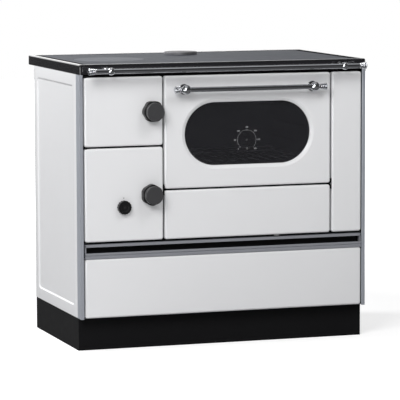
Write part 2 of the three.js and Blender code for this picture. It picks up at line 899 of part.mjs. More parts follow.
// A rim-edged plate with a hinge rod up its left edge; the rod's ends stand out above and below.
function doorLiner(name, width, height) {
  const back = doorDepth - linerBackGap;
  const rim = linerInset + linerRim;
  const slab = linerSlab(width, height, linerFront);
  const pocket = block(
    rim + hingePinRadius, width - rim, linerFront + linerPlate, back + 1, rim, height - rim,
  );
  const hinge = rod(
    hingePinRadius, "z", doorEdgeRadius, doorEdgeRadius, -hingePinReach / 2, height + hingePinReach / 2,
  );
  return { name, solid: joined(cut(slab, pocket), hinge) };
}

function hingeHoles(height) {
  const hole = hingePinRadius + pinClearance;
  return rod(hole, "z", doorEdgeRadius, doorEdgeRadius, -1, height + 1);
}

function sideDoor(prefix, height, knob, extraHoles) {
  const knobX = fireDoorWidth - knob.edge;
  const hole = spindleHole(knobX, knob.height);
  const shell = cut(pressedPan(fireDoorWidth, height), hole, hingeHoles(height), ...extraHoles.shell);
  const liner = doorLiner(`${prefix}_liner`, fireDoorWidth, height);
  return [
    named(`${prefix}_shell`, shell, whiteEnamel),
    named(liner.name, cut(liner.solid, hole, ...extraHoles.liner), castIron),
    groupAt(
      knobX, 0, knob.height,
      doorKnob(`${prefix}_knob`, knob.turn),
      doorLatch(`${prefix}_latch`, knob.edge),
    ),
  ];
}

function fireDoor() {
  const knob = { edge: fireKnobEdge, height: fireKnobHeight, turn: 0 };
  const pieces = sideDoor("fire_door", fireDoorHeight, knob, { shell: [], liner: [] });
  return groupAt(leftDoorX, faceY, fireDoorZ, ...pieces);
}

// Kidney slots round the regulator's axis, in step on the ash door's liner and on its disc.
function airSlots(x, z, from, to) {
  const half = (airSlotDegrees / 2) * (Math.PI / 180);
  return Array.from({ length: airSlotCount }, (_, slot) => {
    const middle = (slot / airSlotCount) * fullTurn + Math.PI / 2;
    const arc = (radius, direction) =>
      Array.from({ length: 6 }, (_, step) => {
        const angle = middle + direction * half * ((2 * step) / 5 - 1);
        return [x + radius * Math.cos(angle), z + radius * Math.sin(angle)];
      });
    return prism([...arc(airSlotOuter, 1), ...arc(airSlotInner, -1)], "y", from, to);
  });
}

function airKnob() {
  const count = airFluteCount * airFluteSteps;
  const outline = (shrink) =>
    Array.from({ length: count }, (_, i) => {
      const angle = (i / count) * fullTurn;
      const flute = airFluteDepth * (0.5 - 0.5 * Math.cos(angle * airFluteCount));
      const radius = airKnobRadius - shrink - flute;
      return [radius * Math.cos(angle), radius * Math.sin(angle)];
    });
  const sections = [
    { outline: outline(0), place: -seatGap },
    { outline: outline(0), place: airKnobChamfer - airKnobDepth },
    { outline: outline(airKnobChamfer), place: -airKnobDepth },
  ];
  const bore = rod(airSpindleRadius + seatGap, "y", 0, 0, -spindleBite, 1, 12);
  return named("air_regulator_knob", cut(loft(sections, "y"), bore), blackPlastic);
}

function airDisc() {
  const front = linerFront + linerPlate + seatGap;
  const disc = rod(airDiscRadius, "y", 0, 0, front, front + airDiscSheet, 36);
  const spindle = rod(airSpindleRadius, "y", 0, 0, seatGap - spindleBite, front + airDiscSheet / 2, 12);
  const slots = airSlots(0, 0, front - 1, front + airDiscSheet + 1);
  return named("air_regulator_disc", joined(cut(disc, ...slots), spindle), castIron);
}

function ashDoor() {
  const hole = airSpindleHole(airKnobX, airKnobHeight);
  const slots = airSlots(airKnobX, airKnobHeight, linerFront - 1, linerFront + linerPlate + 1);
  const extraHoles = { shell: [hole], liner: [hole, ...slots] };
  const knob = { edge: ashKnobEdge, height: ashKnobHeight, turn: Math.PI / 6 };
  return groupAt(
    leftDoorX, faceY, doorBottomZ,
    ...sideDoor("ash_door", ashDoorHeight, knob, extraHoles),
    groupAt(airKnobX, 0, airKnobHeight, airKnob(), airDisc()),
  );
}

// ---- Oven door ----

const windowX = ovenDoorWidth / 2;
const windowWidth = ovenDoorWidth - 2 * windowSideMargin;
const glassFront = windowLipDepth + seatGap;
const glassBack = glassFront + glassThickness;
const dialX = windowX + dialShift;
const dialHeight = windowCentreHeight - dialDrop;

// Hinge rod along the bottom or top edge of a pan, its ends standing out at both sides.
function crossHinge(width, z, radius, reach) {
  return rod(radius, "x", doorEdgeRadius, z, -reach, width + reach);
}

function ovenDoorShell() {
  const opening = stadium(windowX, windowCentreHeight, windowWidth, windowHeight);
  const lipOutside = stadium(
    windowX, windowCentreHeight, windowWidth + 2 * doorSheet, windowHeight + 2 * doorSheet,
  );
  const lip = prism(lipOutside, "y", doorSheet / 2, windowLipDepth);
  const pan = joined(pressedPan(ovenDoorWidth, ovenDoorHeight), lip);
  const hinge = crossHinge(ovenDoorWidth, doorEdgeRadius, hingePinRadius + pinClearance, 1);
  return named("oven_door_shell", cut(pan, prism(opening, "y", -1, doorDepth), hinge), whiteEnamel);
}

function ovenDoorInner() {
  const back = doorDepth - linerBackGap;
  const front = glassBack + seatGap;
  const panel = linerSlab(ovenDoorWidth, ovenDoorHeight, front);
  const foot = block(
    doorCornerRadius, ovenDoorWidth - doorCornerRadius, doorEdgeRadius, front + 1,
    linerInset, doorEdgeRadius + hingePinRadius,
  );
  const inner = stadium(
    windowX, windowCentreHeight, windowWidth - 2 * innerWindowLap, windowHeight - 2 * innerWindowLap,
  );
  const hinge = crossHinge(ovenDoorWidth, doorEdgeRadius, hingePinRadius, hingePinReach / 2);
  const solid = cut(joined(panel, foot, hinge), prism(inner, "y", front - 1, back + 1));
  return named("oven_door_inner_panel", solid, ovenEnamel);
}

function ovenDoorGlass() {
  const outline = stadium(
    windowX, windowCentreHeight, windowWidth + 2 * glassLap, windowHeight + 2 * glassLap,
  );
  const pane = prism(outline, "y", glassFront, glassBack);
  const hole = rod(needlePinRadius + pinClearance, "y", dialX, dialHeight, 0, glassBack + 1, 12);
  return named("oven_door_glass", cut(pane, hole), darkGlass);
}

// Needle on its pin through the glass, resting at the low end of the scale.
function thermometerPointer() {
  const needleFront = glassBack + 2 * seatGap;
  const needle = prism(
    [
      [-needleWidth / 2, -needleTail],
      [needleWidth / 2, -needleTail],
      [needleWidth / 4, needleLength],
      [-needleWidth / 4, needleLength],
    ],
    "y", needleFront, needleFront + needleSheet,
  );
  const pin = rod(needlePinRadius, "y", 0, 0, glassFront - 1, needleFront + needleSheet, 12);
  const cap = rod(needleCapRadius, "y", 0, 0, glassFront - 1 - seatGap, glassFront - seatGap, 16);
  const pointer = named("thermometer_pointer", joined(needle, pin, cap), printWhite);
  pointer.rotation.y = THREE.MathUtils.degToRad(needleRestDegrees);
  return groupAt(dialX, 0, dialHeight, pointer);
}

function ovenDoor() {
  const length = ovenDoorWidth - 2 * handleEndInset;
  const handle = bar(
    "handle", length, handleBallInset, handleStandoff, handleBallRadius, handleNeckRadius, handleRoseRadius,
  );
  return groupAt(
    ovenDoorX, faceY, ovenDoorZ,
    ovenDoorShell(),
    ovenDoorInner(),
    ovenDoorGlass(),
    thermometerPointer(),
    groupAt(windowX, -handleStandoff, handleHeight, ...handle),
  );
}

// ---- Panel under the oven door, hung at its top edge, with a spring catch at its bottom edge ----

function lowerPanel() {
  const hingeZ = lowerPanelHeight - doorEdgeRadius;
  const hinge = crossHinge(ovenDoorWidth, hingeZ, hingePinRadius, hingePinReach / 2);
  const panel = joined(pressedPan(ovenDoorWidth, lowerPanelHeight), hinge);
  const catchRight = catchX + catchWidth;
  const tab = joined(
    block(catchX, catchRight, catchFront, catchBack, -catchDrop, -catchDrop + catchSheet),
    block(catchX, catchRight, catchFront, catchFront + catchSheet, -catchDrop, -seatGap),
  );
  return groupAt(
    ovenDoorX, faceY, doorBottomZ,
    named("lower_panel", panel, whiteEnamel),
    named("lower_panel_catch", tab, chrome),
  );
}

// ---- Drawer ----

const drawerBottom = drawerFrontBottom + drawerSideGap;
const boxFront = faceY + doorDepth + seatGap;
const boxBack = bodyDepth - sheet - drawerBackGap;
const boxInset = frontMargin + drawerSideGap;

function drawerGrip() {
  const base = gripBottom;
  const lip = gripWall - doorProud / 2;
  const section = [
    [faceY, base],
    [boxFront - seatGap, base],
    [boxFront - seatGap, base + gripBase],
    [lip, base + gripBase],
    [lip, base + gripHeight],
    [faceY + gripGroove, base + gripHeight],
    [faceY, base + gripHeight - gripGroove],
    [faceY, base + gripGrooveTop],
    [faceY + gripGroove, base + gripGrooveTop - gripGroove / 2],
    [faceY + gripGroove, base + gripGrooveBottom + gripGroove / 2],
    [faceY, base + gripGrooveBottom],
  ];
  return named("drawer_grip", prism(section, "x", frontMargin, stoveWidth - frontMargin), satinAluminium);
}

function drawer() {
  const top = gripBottom - drawerTopGap;
  const x1 = stoveWidth - boxInset;
  const box = cut(
    block(boxInset, x1, boxFront, boxBack, drawerBottom, top),
    block(
      boxInset + drawerBoxSheet, x1 - drawerBoxSheet, boxFront + drawerBoxSheet, boxBack - drawerBoxSheet,
      drawerBottom + drawerBoxSheet, top + 1,
    ),
  );
  const front = named("drawer_front", pressedPan(drawerWidth, drawerFrontHeight), whiteEnamel);
  return [
    groupAt(frontMargin, faceY, drawerFrontBottom, front),
    drawerGrip(),
    named("drawer_box", box, galvanised),
  ];
}

// Angle runner on the base plate under one side of the drawer box, its lip beside the box.
function drawerRunner(name, mirrored) {
  const front = behindFrame;
  const bottom = baseTop + seatGap;
  const lipX = boxInset - drawerRunGap - drawerBoxSheet;
  const bed = block(lipX, lipX + runnerWidth, front, boxBack, bottom, drawerBottom - drawerRunGap);
  const lip = block(lipX, lipX + drawerBoxSheet, front, boxBack, bottom, drawerBottom + runnerLip);
  const runner = joined(bed, lip);
  return named(name, mirrored ? acrossStove(runner) : runner, galvanised);
}

function drawerBayRoof() {
  const x0 = recessDepth + sheet + seatGap;
  const back = bodyDepth - sheet - seatGap;
  const roof = block(x0, stoveWidth - x0, behindFrame, back, bayRoofZ, bayRoofZ + sheet);
  return named("drawer_bay_roof", roof, galvanised);
}

// ---- Firebox ----

const casingBottom = bayRoofZ + sheet + seatGap;
const casingInnerLeft = casingX + casingWall;
const casingInnerRight = casingX + casingWidth - casingWall;
const casingBack = behindFrame + casingDepth;
const casingInnerBack = casingBack - casingWall;
const hearthZ = fireDoorZ - hearthDrop;
const hearthTop = hearthZ + hearthSheet;
const grateX = (casingInnerLeft + casingInnerRight) / 2;
const grateY = behindFrame + grateFront + grateLength / 2;

function fireboxCasing() {
  const top = ledgeTop - ledgeSheet - casingTopGap;
  const right = casingX + casingWidth;
  const outletZ = hearthTop + brickHeight + casingOutletRise;
  const box = block(casingX, right, behindFrame, casingBack, casingBottom, top);
  const lowerRoom = block(
    casingInnerLeft, casingInnerRight, behindFrame - 1, casingInnerBack, casingBottom + casingWall, hearthZ,
  );
  const upperRoom = block(
    casingInnerLeft, casingInnerRight, behindFrame - 1, casingInnerBack, hearthTop, top + 1,
  );
  const outlet = block(
    casingInnerRight - 1, right + 1, behindFrame + openingLap, casingInnerBack, outletZ, top + 1,
  );
  const seatX = grateWidth / 2 - grateSeat;
  const seatY = grateLength / 2 - grateSeat;
  const grateHole = block(
    grateX - seatX, grateX + seatX, grateY - seatY, grateY + seatY, hearthZ - 1, hearthTop + 1,
  );
  return named("firebox_casing", cut(box, lowerRoom, upperRoom, outlet, grateHole), blackPaint);
}

function firebricks() {
  const bottom = hearthTop + seatGap;
  const top = bottom + brickHeight;
  const front = behindFrame + brickFront;
  const left = casingInnerLeft + seatGap;
  const right = casingInnerRight - seatGap;
  const rearFront = casingInnerBack - seatGap - brickThickness;
  const sideBack = rearFront - seatGap;
  return [
    named("firebrick_left", block(left, left + brickThickness, front, sideBack, bottom, top), firebrick),
    named("firebrick_right", block(right - brickThickness, right, front, sideBack, bottom, top), firebrick),
    named("firebrick_rear", block(left, right, rearFront, casingInnerBack - seatGap, bottom, top), firebrick),
  ];
}

function fireGrate() {
  const half = grateWidth / 2;
  const halfLength = grateLength / 2;
  const pitch = grateSlotWidth + grateBarWidth;
  const perRow = Math.floor((grateWidth - grateBarWidth) / pitch);
  const holes = [];
  for (let row = 0; row < 2; row += 1) {
    for (let slot = 0; slot < perRow; slot += 1) {
      const x = grateX + (slot - (perRow - 1) / 2) * pitch - grateSlotWidth / 2;
      const y = grateY - halfLength + grateBarWidth + row * (halfLength - grateBarWidth / 2);
      const end = y + halfLength - grateBarWidth * 1.5;
      holes.push(rectangle(x, x + grateSlotWidth, y, end));
    }
  }
  const outline = rectangle(grateX - half, grateX + half, grateY - halfLength, grateY + halfLength);
  const bottom = hearthTop + seatGap;
  return named("fire_grate", prism(outline, "z", bottom, bottom + grateThickness, holes), castIron);
}

// Pan under the grate with a folded pull at its front.
function ashPan() {
  const x0 = grateX - ashPanWidth / 2;
  const x1 = grateX + ashPanWidth / 2;
  const front = behindFrame + ashPanFront;
  const back = front + ashPanLength;
  const bottom = casingBottom + casingWall + seatGap;
  const top = bottom + ashPanHeight;
  const pan = cut(
    block(x0, x1, front, back, bottom, top),
    block(
      x0 + ashPanSheet, x1 - ashPanSheet, front + ashPanSheet, back - ashPanSheet,
      bottom + ashPanSheet, top + 1,
    ),
  );
  const left = grateX - ashPullWidth / 2;
  const right = grateX + ashPullWidth / 2;
  const pullFront = front - ashPullReach;
  const pullTop = top - ashPullDrop;
  const pull = joined(
    block(left, right, pullFront, front + ashPanSheet / 2, pullTop - ashPanSheet, pullTop),
    block(left, right, pullFront, pullFront + ashPanSheet, pullTop - ashPullHeight, pullTop),
  );
  return named("ash_pan", joined(pan, pull), galvanised);
}

// ---- Oven and smoke duct ----

const ovenInnerLeft = ovenDoorX + ovenOpeningLap;
const ovenInnerRight = ovenDoorX + ovenDoorWidth - ovenOpeningLap;
const ovenInnerBottom = ovenDoorZ + ovenOpeningLap;
const ovenInnerTop = ovenDoorZ + ovenDoorHeight - ovenOpeningLap;
const ovenInnerBack = behindFrame + ovenDepth - sheet;
const ovenLedgeZ = (level) => ovenInnerBottom + ovenLedgeFirst + level * ovenLedgePitch;

function ovenBox() {
  const shell = block(
    ovenInnerLeft - sheet, ovenInnerRight + sheet, behindFrame, behindFrame + ovenDepth,
    ovenInnerBottom - sheet, ovenInnerTop + sheet,
  );
  const spread = sheet + ovenFlange;
  const flange = block(
    ovenInnerLeft - spread, ovenInnerRight + spread, behindFrame, behindFrame + sheet,
    ovenInnerBottom - spread, ovenInnerTop + spread,
  );
  const cavity = block(
    ovenInnerLeft, ovenInnerRight, behindFrame - 1, ovenInnerBack, ovenInnerBottom, ovenInnerTop,
  );
  const ledges = [];
  for (let level = 0; level < ovenLedgeCount; level += 1) {
    const z = ovenLedgeZ(level);
    const y0 = behindFrame + ovenLedgeInset;
    const y1 = ovenInnerBack - ovenLedgeInset;
    ledges.push(block(ovenInnerLeft - 1, ovenInnerLeft + ovenLedgeReach, y0, y1, z - ovenLedgeHeight, z));
    ledges.push(block(ovenInnerRight - ovenLedgeReach, ovenInnerRight + 1, y0, y1, z - ovenLedgeHeight, z));
  }
  return named("oven_box", joined(cut(joined(shell, flange), cavity), ...ledges), ovenEnamel);
}

// Wire shelf on the lowest ledges, with a raised stop wire at its back.
function ovenRack() {
  const x0 = ovenInnerLeft + rackSideGap + rackWire;
  const x1 = ovenInnerRight - rackSideGap - rackWire;
  const y0 = behindFrame + ovenLedgeInset + rackWire;
  const y1 = ovenInnerBack - ovenLedgeInset - rackWire;
  const z = ovenLedgeZ(0) + seatGap + rackWire;
  const wires = [
    rod(rackWire, "x", y0, z, x0 - rackWire, x1 + rackWire, 8),
    rod(rackWire, "x", y1, z, x0 - rackWire, x1 + rackWire, 8),
    rod(rackWire, "y", x0, z, y0, y1, 8),
    rod(rackWire, "y", x1, z, y0, y1, 8),
    rod(rackCrossWire, "x", y1, z + rackStopHeight, x0 - rackCrossWire, x1 + rackCrossWire, 8),
  ];
  for (const x of [x0, x1]) {
    wires.push(rod(rackCrossWire, "z", x, y1, z, z + rackStopHeight, 8));
  }
  for (let i = 1; i <= rackCrossCount; i += 1) {
    const x = x0 + (i / (rackCrossCount + 1)) * (x1 - x0);
    wires.push(rod(rackCrossWire, "y", x, z, y0, y1, 8));
  }
  return named("oven_rack", joined(...wires), chrome);
}

function smokeDuct() {
  const x0 = flueX - ductWidth / 2;
  const x1 = flueX + ductWidth / 2;
  const y0 = behindFrame + Math.max(ovenDepth, casingDepth) + seatGap;
  const y1 = bodyDepth - sheet - seatGap;
  const bottom = casingBottom;
  const top = frameBottom - ductTopDrop;
  const duct = cut(
    block(x0, x1, y0, y1, bottom, top),
    block(x0 + ductWall, x1 - ductWall, y0 + ductWall, y1 - ductWall, bottom + ductWall, top + 1),
    block(
      x0 + 2 * ductWall, x1 - 2 * ductWall, y0 - 1, y0 + ductWall + 1,
      bottom + ductWall, bottom + ductInletHeight,
    ),
  );
  return named("smoke_duct", duct, blackPaint);
}

// ---- The stove ----

const frontReach = Math.max(
  railStandoff + railBallRadius,
  doorProud + knobDepth,
  doorProud + handleStandoff + handleBallRadius,
);

const stove = groupAt(
  -stoveWidth / 2, (frontReach - topDepth) / 2, 0,
  plinth(),
  basePlate(),
  backPanel(),
  sidePanel("side_panel_left", false),
  sidePanel("side_panel_right", true),
  cornerPost("corner_post_left", false),
  cornerPost("corner_post_right", true),
  frontFrame(),
  rightPanel(),
  slotTrim(),
  ...topFrame(),
  cooktopPlate(),
  hotplateRing(),
  hotplateLid(),
  flueCollar(),
  flueCap(),
  frontRail(),
  fireDoor(),
  ashDoor(),
  ovenDoor(),
  lowerPanel(),
  ...drawer(),
  drawerRunner("drawer_runner_left", false),
  drawerRunner("drawer_runner_right", true),
  drawerBayRoof(),
  fireboxCasing(),
  ...firebricks(),
  fireGrate(),
  ashPan(),
  ovenBox(),
  ovenRack(),
  smokeDuct(),
);

const group = new THREE.Group();
group.add(stove);

export default group;
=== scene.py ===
"""Looks of a solid-fuel range cooker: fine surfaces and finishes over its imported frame, and its studio.

Shapes are worked out in the stove's own millimetres, with x from its left side, y back from the fronts of
its corner posts and z from the floor. Skin.piece puts them into the frame's metres.
"""

import logging
import math
from dataclasses import dataclass
from enum import Enum
from typing import Any, Callable, Iterable, Optional, Sequence, Union

import bmesh
import bpy
import numpy as np
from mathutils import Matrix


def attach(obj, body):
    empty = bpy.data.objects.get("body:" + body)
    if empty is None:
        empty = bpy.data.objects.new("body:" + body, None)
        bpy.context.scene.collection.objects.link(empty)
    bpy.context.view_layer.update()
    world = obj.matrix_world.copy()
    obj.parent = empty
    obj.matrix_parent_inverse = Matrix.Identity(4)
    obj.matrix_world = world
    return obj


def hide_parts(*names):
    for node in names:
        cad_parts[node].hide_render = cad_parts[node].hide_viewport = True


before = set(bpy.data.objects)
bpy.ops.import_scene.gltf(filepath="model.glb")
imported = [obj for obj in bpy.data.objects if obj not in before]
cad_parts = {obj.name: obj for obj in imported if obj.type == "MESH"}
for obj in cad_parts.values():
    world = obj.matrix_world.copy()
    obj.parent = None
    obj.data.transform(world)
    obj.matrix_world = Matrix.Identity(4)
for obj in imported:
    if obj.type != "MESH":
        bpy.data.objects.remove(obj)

Array = np.ndarray
Colour = tuple[float, float, float]
Profile = Sequence[Sequence[float]]
Span = tuple[float, ...]
log = logging.getLogger("range_cooker")

MILLIMETRE = 0.001
STOVE_WIDTH = 900.0
STOVE_HEIGHT = 850.0
FRAME_ORIGIN = np.array([450.0, 261.25, 0.0])
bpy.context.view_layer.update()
# In millimetres: the clearance between pieces, which points become one, and which edges are dropped.
SEAT_GAP = 0.3
MERGE_GAP = 2e-3
THIN_EDGE = 1e-3
# Straight steps in a rounded edge.
EDGE_STEPS = 8
BEVEL_STEPS = 3


class Axis(Enum):
    """The way that a profile is carried or turned, as the places of its (u, v, w) among x, y and z."""

    X = (1, 2, 0)
    Y = (0, 2, 1)
    Z = (0, 1, 2)


# ---- Curves and surfaces ----


def polar(u: float, v: float, radius: Union[float, Array], turn: Array) -> Array:
    """Points at (u, v) plus radius times (cos t, sin t), one row for each angle t in radians."""
    return np.stack([u + radius * np.cos(turn), v + radius * np.sin(turn)], -1)


def arc(u: float, v: float, radius: float, start: float, end: float, steps: int = EDGE_STEPS) -> Array:
    """Part of a circle about (u, v) in straight steps, between two angles in degrees."""
    return polar(u, v, radius, np.radians(np.linspace(start, end, steps + 1)))


def rolled(radius: float, start: float = 0.0, steps: int = EDGE_STEPS) -> list[tuple[float, float]]:
    """A rounded edge's (draw-in, advance): radius times (1 - cos t, sin t), with t up to 90 degrees."""
    turn = np.radians(np.linspace(start, 90, steps + 1))
    return [(radius * (1 - math.cos(t)), radius * math.sin(t)) for t in turn]


def rounded(u0: float, u1: float, v0: float, v1: float, radius: float, steps: int = EDGE_STEPS) -> Array:
    """A rectangle with a quarter circle at each corner, anticlockwise from its right side's top.

    Args:
        u0, u1, v0, v1: the rectangle's sides.
        radius: the corners' radius.
        steps: straight steps in each corner.

    Returns:
        The outline's points, one row each.
    """
    corners = ((u1 - radius, v1 - radius), (u0 + radius, v1 - radius),
               (u0 + radius, v0 + radius), (u1 - radius, v0 + radius))
    return np.concatenate([
        arc(u, v, radius, 90 * quarter, 90 * (quarter + 1), steps) for quarter, (u, v) in enumerate(corners)
    ])


def along(outline: Array, axis: Axis, place: float) -> Array:
    """An outline of (u, v) points set across an axis at a place along it, as (x, y, z) points.

    Args:
        outline: the points, one row each.
        axis: the axis that the outline lies across.
        place: its place on that axis.

    Returns:
        The points in space, one row each.
    """
    points = np.empty((len(outline), 3))
    points[:, axis.value[0]] = outline[:, 0]
    points[:, axis.value[1]] = outline[:, 1]
    points[:, axis.value[2]] = place
    return points


def turned(profile: Profile, axis: Axis, a: float, b: float, count: int = 64) -> Array:
    """A surface of revolution: at angle t a point lies at (a, b) plus its radius times (cos t, sin t).

    Args:
        profile: (radius, place along the axis) points.
        axis: the axis turned about.
        a, b: where the axis passes, in the two other directions.
        count: steps round.

    Returns:
        A grid of points, one row for each profile point.
    """
    shape = np.asarray(profile, float)
    turn = np.linspace(0, 2 * np.pi, count, endpoint=False)
    points = np.empty((len(shape), count, 3))
    points[..., axis.value[0]] = a + shape[:, :1] * np.cos(turn)
    points[..., axis.value[1]] = b + shape[:, :1] * np.sin(turn)
    points[..., axis.value[2]] = shape[:, 1:]
    return points


def placed(name: str, data: bpy.types.ID) -> bpy.types.Object:
    """Puts a new object into the scene.

    Args:
        name: the object's name.
        data: its mesh, lamp, camera or lettering.

    Returns:
        The object.
    """
    thing = bpy.data.objects.new(name, data)
    bpy.context.scene.collection.objects.link(thing)
    return thing


class Skin:
    """Patches of one piece's surface, gathered into a closed mesh."""

    def __init__(self) -> None:
        """Starts with no patch."""
        self.points: list[Array] = []
        self.faces: list[Sequence[int]] = []
        self.count = 0

    def patch(self, points: Array, faces: Iterable[Sequence[int]]) -> "Skin":
        """Adds points and the faces between them.

        Args:
            points: one row each.
            faces: the points of each face by their numbers in this patch.

        Returns:
            This skin.
        """
        self.faces += [[self.count + corner for corner in face] for face in faces]
        self.points.append(np.asarray(points, float).reshape(-1, 3))
        self.count += len(self.points[-1])
        return self

    def grid(self, points: Array, round_rows: bool = False, round_columns: bool = True) -> "Skin":
        """Adds a grid of points as four-sided faces.

        Args:
            points: rows by columns by 3.
            round_rows: whether the last row meets the first.
            round_columns: whether the last column meets the first.

        Returns:
            This skin.
        """
        number = np.arange(points.shape[0] * points.shape[1]).reshape(points.shape[:2])
        if round_rows:
            number = np.vstack([number, number[:1]])
        if round_columns:
            number = np.hstack([number, number[:, :1]])
        quads = np.stack([number[:-1, :-1], number[:-1, 1:], number[1:, 1:], number[1:, :-1]], -1)
        return self.patch(points, quads.reshape(-1, 4).tolist())

    def cap(self, ring: Array) -> "Skin":
        """Adds one flat face over a ring of points."""
        return self.patch(ring, [range(len(ring))])

    def loft(self, rings: Sequence[Array]) -> "Skin":
        """Adds rings joined one to the next, with a flat face over the first and the last.

        Args:
            rings: outlines with equal numbers of points.

        Returns:
            This skin.
        """
        return self.grid(np.stack(rings)).cap(rings[0]).cap(rings[-1])

    def extruded(self, outline: Profile, axis: Axis, start: float, end: float) -> "Skin":
        """Adds a section carried straight along an axis, closed at both ends."""
        section = np.asarray(outline, float)
        return self.loft([along(section, axis, start), along(section, axis, end)])

    def spun(
        self, profile: Profile, axis: Axis, a: float, b: float, count: int = 64, hollow: bool = False,
    ) -> "Skin":
        """Adds a profile turned about an axis; a hollow one's last point meets its first."""
        return self.grid(turned(profile, axis, a, b, count), round_rows=hollow)

    def block(self, low: Sequence[float], high: Sequence[float]) -> "Skin":
        """Adds a bar of rectangular section between two corners."""
        outline = [(low[0], low[1]), (high[0], low[1]), (high[0], high[1]), (low[0], high[1])]
        return self.extruded(outline, Axis.Z, low[2], high[2])

    def mirrored(self) -> "Skin":
        """Turns every patch over to the other side of the stove."""
        self.points = [patch * (-1, 1, 1) + (STOVE_WIDTH, 0, 0) for patch in self.points]
        return self

    def piece(
        self, name: str, body: str, slot: str, finish: "Finish", replaces: Sequence[str] = (),
        bevel: float = 0.0, crease: float = 32.0,
    ) -> bpy.types.Object:
        """Makes the finished piece and hands it to the frame.

        Args:
            name: the piece's name.
            body: the body that it moves with.
            slot: a material slot's name; not used.
            finish: what covers it.
            replaces: the frame's nodes that it stands for.
            bevel: width of the rounding of its sharp edges in millimetres, or 0.
            crease: the angle in degrees over which an edge stays sharp.

        Returns:
            The piece's object.
        """
        mesh = bpy.data.meshes.new(name)
        points = (np.concatenate(self.points) - FRAME_ORIGIN) * MILLIMETRE
        mesh.from_pydata(points.tolist(), [], self.faces)
        form = bmesh.new()
        form.from_mesh(mesh)
        bmesh.ops.remove_doubles(form, verts=form.verts, dist=MERGE_GAP * MILLIMETRE)
        bmesh.ops.dissolve_degenerate(form, edges=form.edges, dist=THIN_EDGE * MILLIMETRE)
        bmesh.ops.recalc_face_normals(form, faces=form.faces)
        form.to_mesh(mesh)
        form.free()
        mesh.shade_smooth()
        mesh.set_sharp_from_angle(angle=math.radians(crease))
        mesh.materials.append(finish.material())
        piece = placed(name, mesh)
        if bevel:
            edge = piece.modifiers.new("rounded edges", "BEVEL")
            edge.width = bevel * MILLIMETRE
            edge.segments = BEVEL_STEPS
            edge.limit_method = "ANGLE"
            edge.angle_limit = math.radians(crease)
            edge.harden_normals = True
        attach(piece, body)
        if replaces:
            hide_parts(*replaces)
        log.info("%s: %d faces on %s", name, len(mesh.polygons), body)
        return piece


# ---- Shader building ----

Value = Union[float, Sequence[float], "Socket"]


class Socket:
    """A shader node's output, on which Python's operators add Math nodes."""

    def __init__(self, nodes: "Nodes", socket: bpy.types.NodeSocket) -> None:
        """Wraps one output of a tree."""
        self.nodes = nodes
        self.socket = socket

    def math(self, operation: str, first: Value, second: Value) -> "Socket":
        """A Math node's result on two values."""
        return self.nodes.add("ShaderNodeMath", {"operation": operation}, {0: first, 1: second})

    def __add__(self, other: Value) -> "Socket":
        """Sum."""
        return self.math("ADD", self, other)

    def __sub__(self, other: Value) -> "Socket":
        """Difference."""
        return self.math("SUBTRACT", self, other)

    def __rsub__(self, other: Value) -> "Socket":
        """Difference from a number."""
        return self.math("SUBTRACT", other, self)

    def __mul__(self, other: Value) -> "Socket":
        """Product."""
        return self.math("MULTIPLY", self, other)

    __radd__ = __add__
    __rmul__ = __mul__


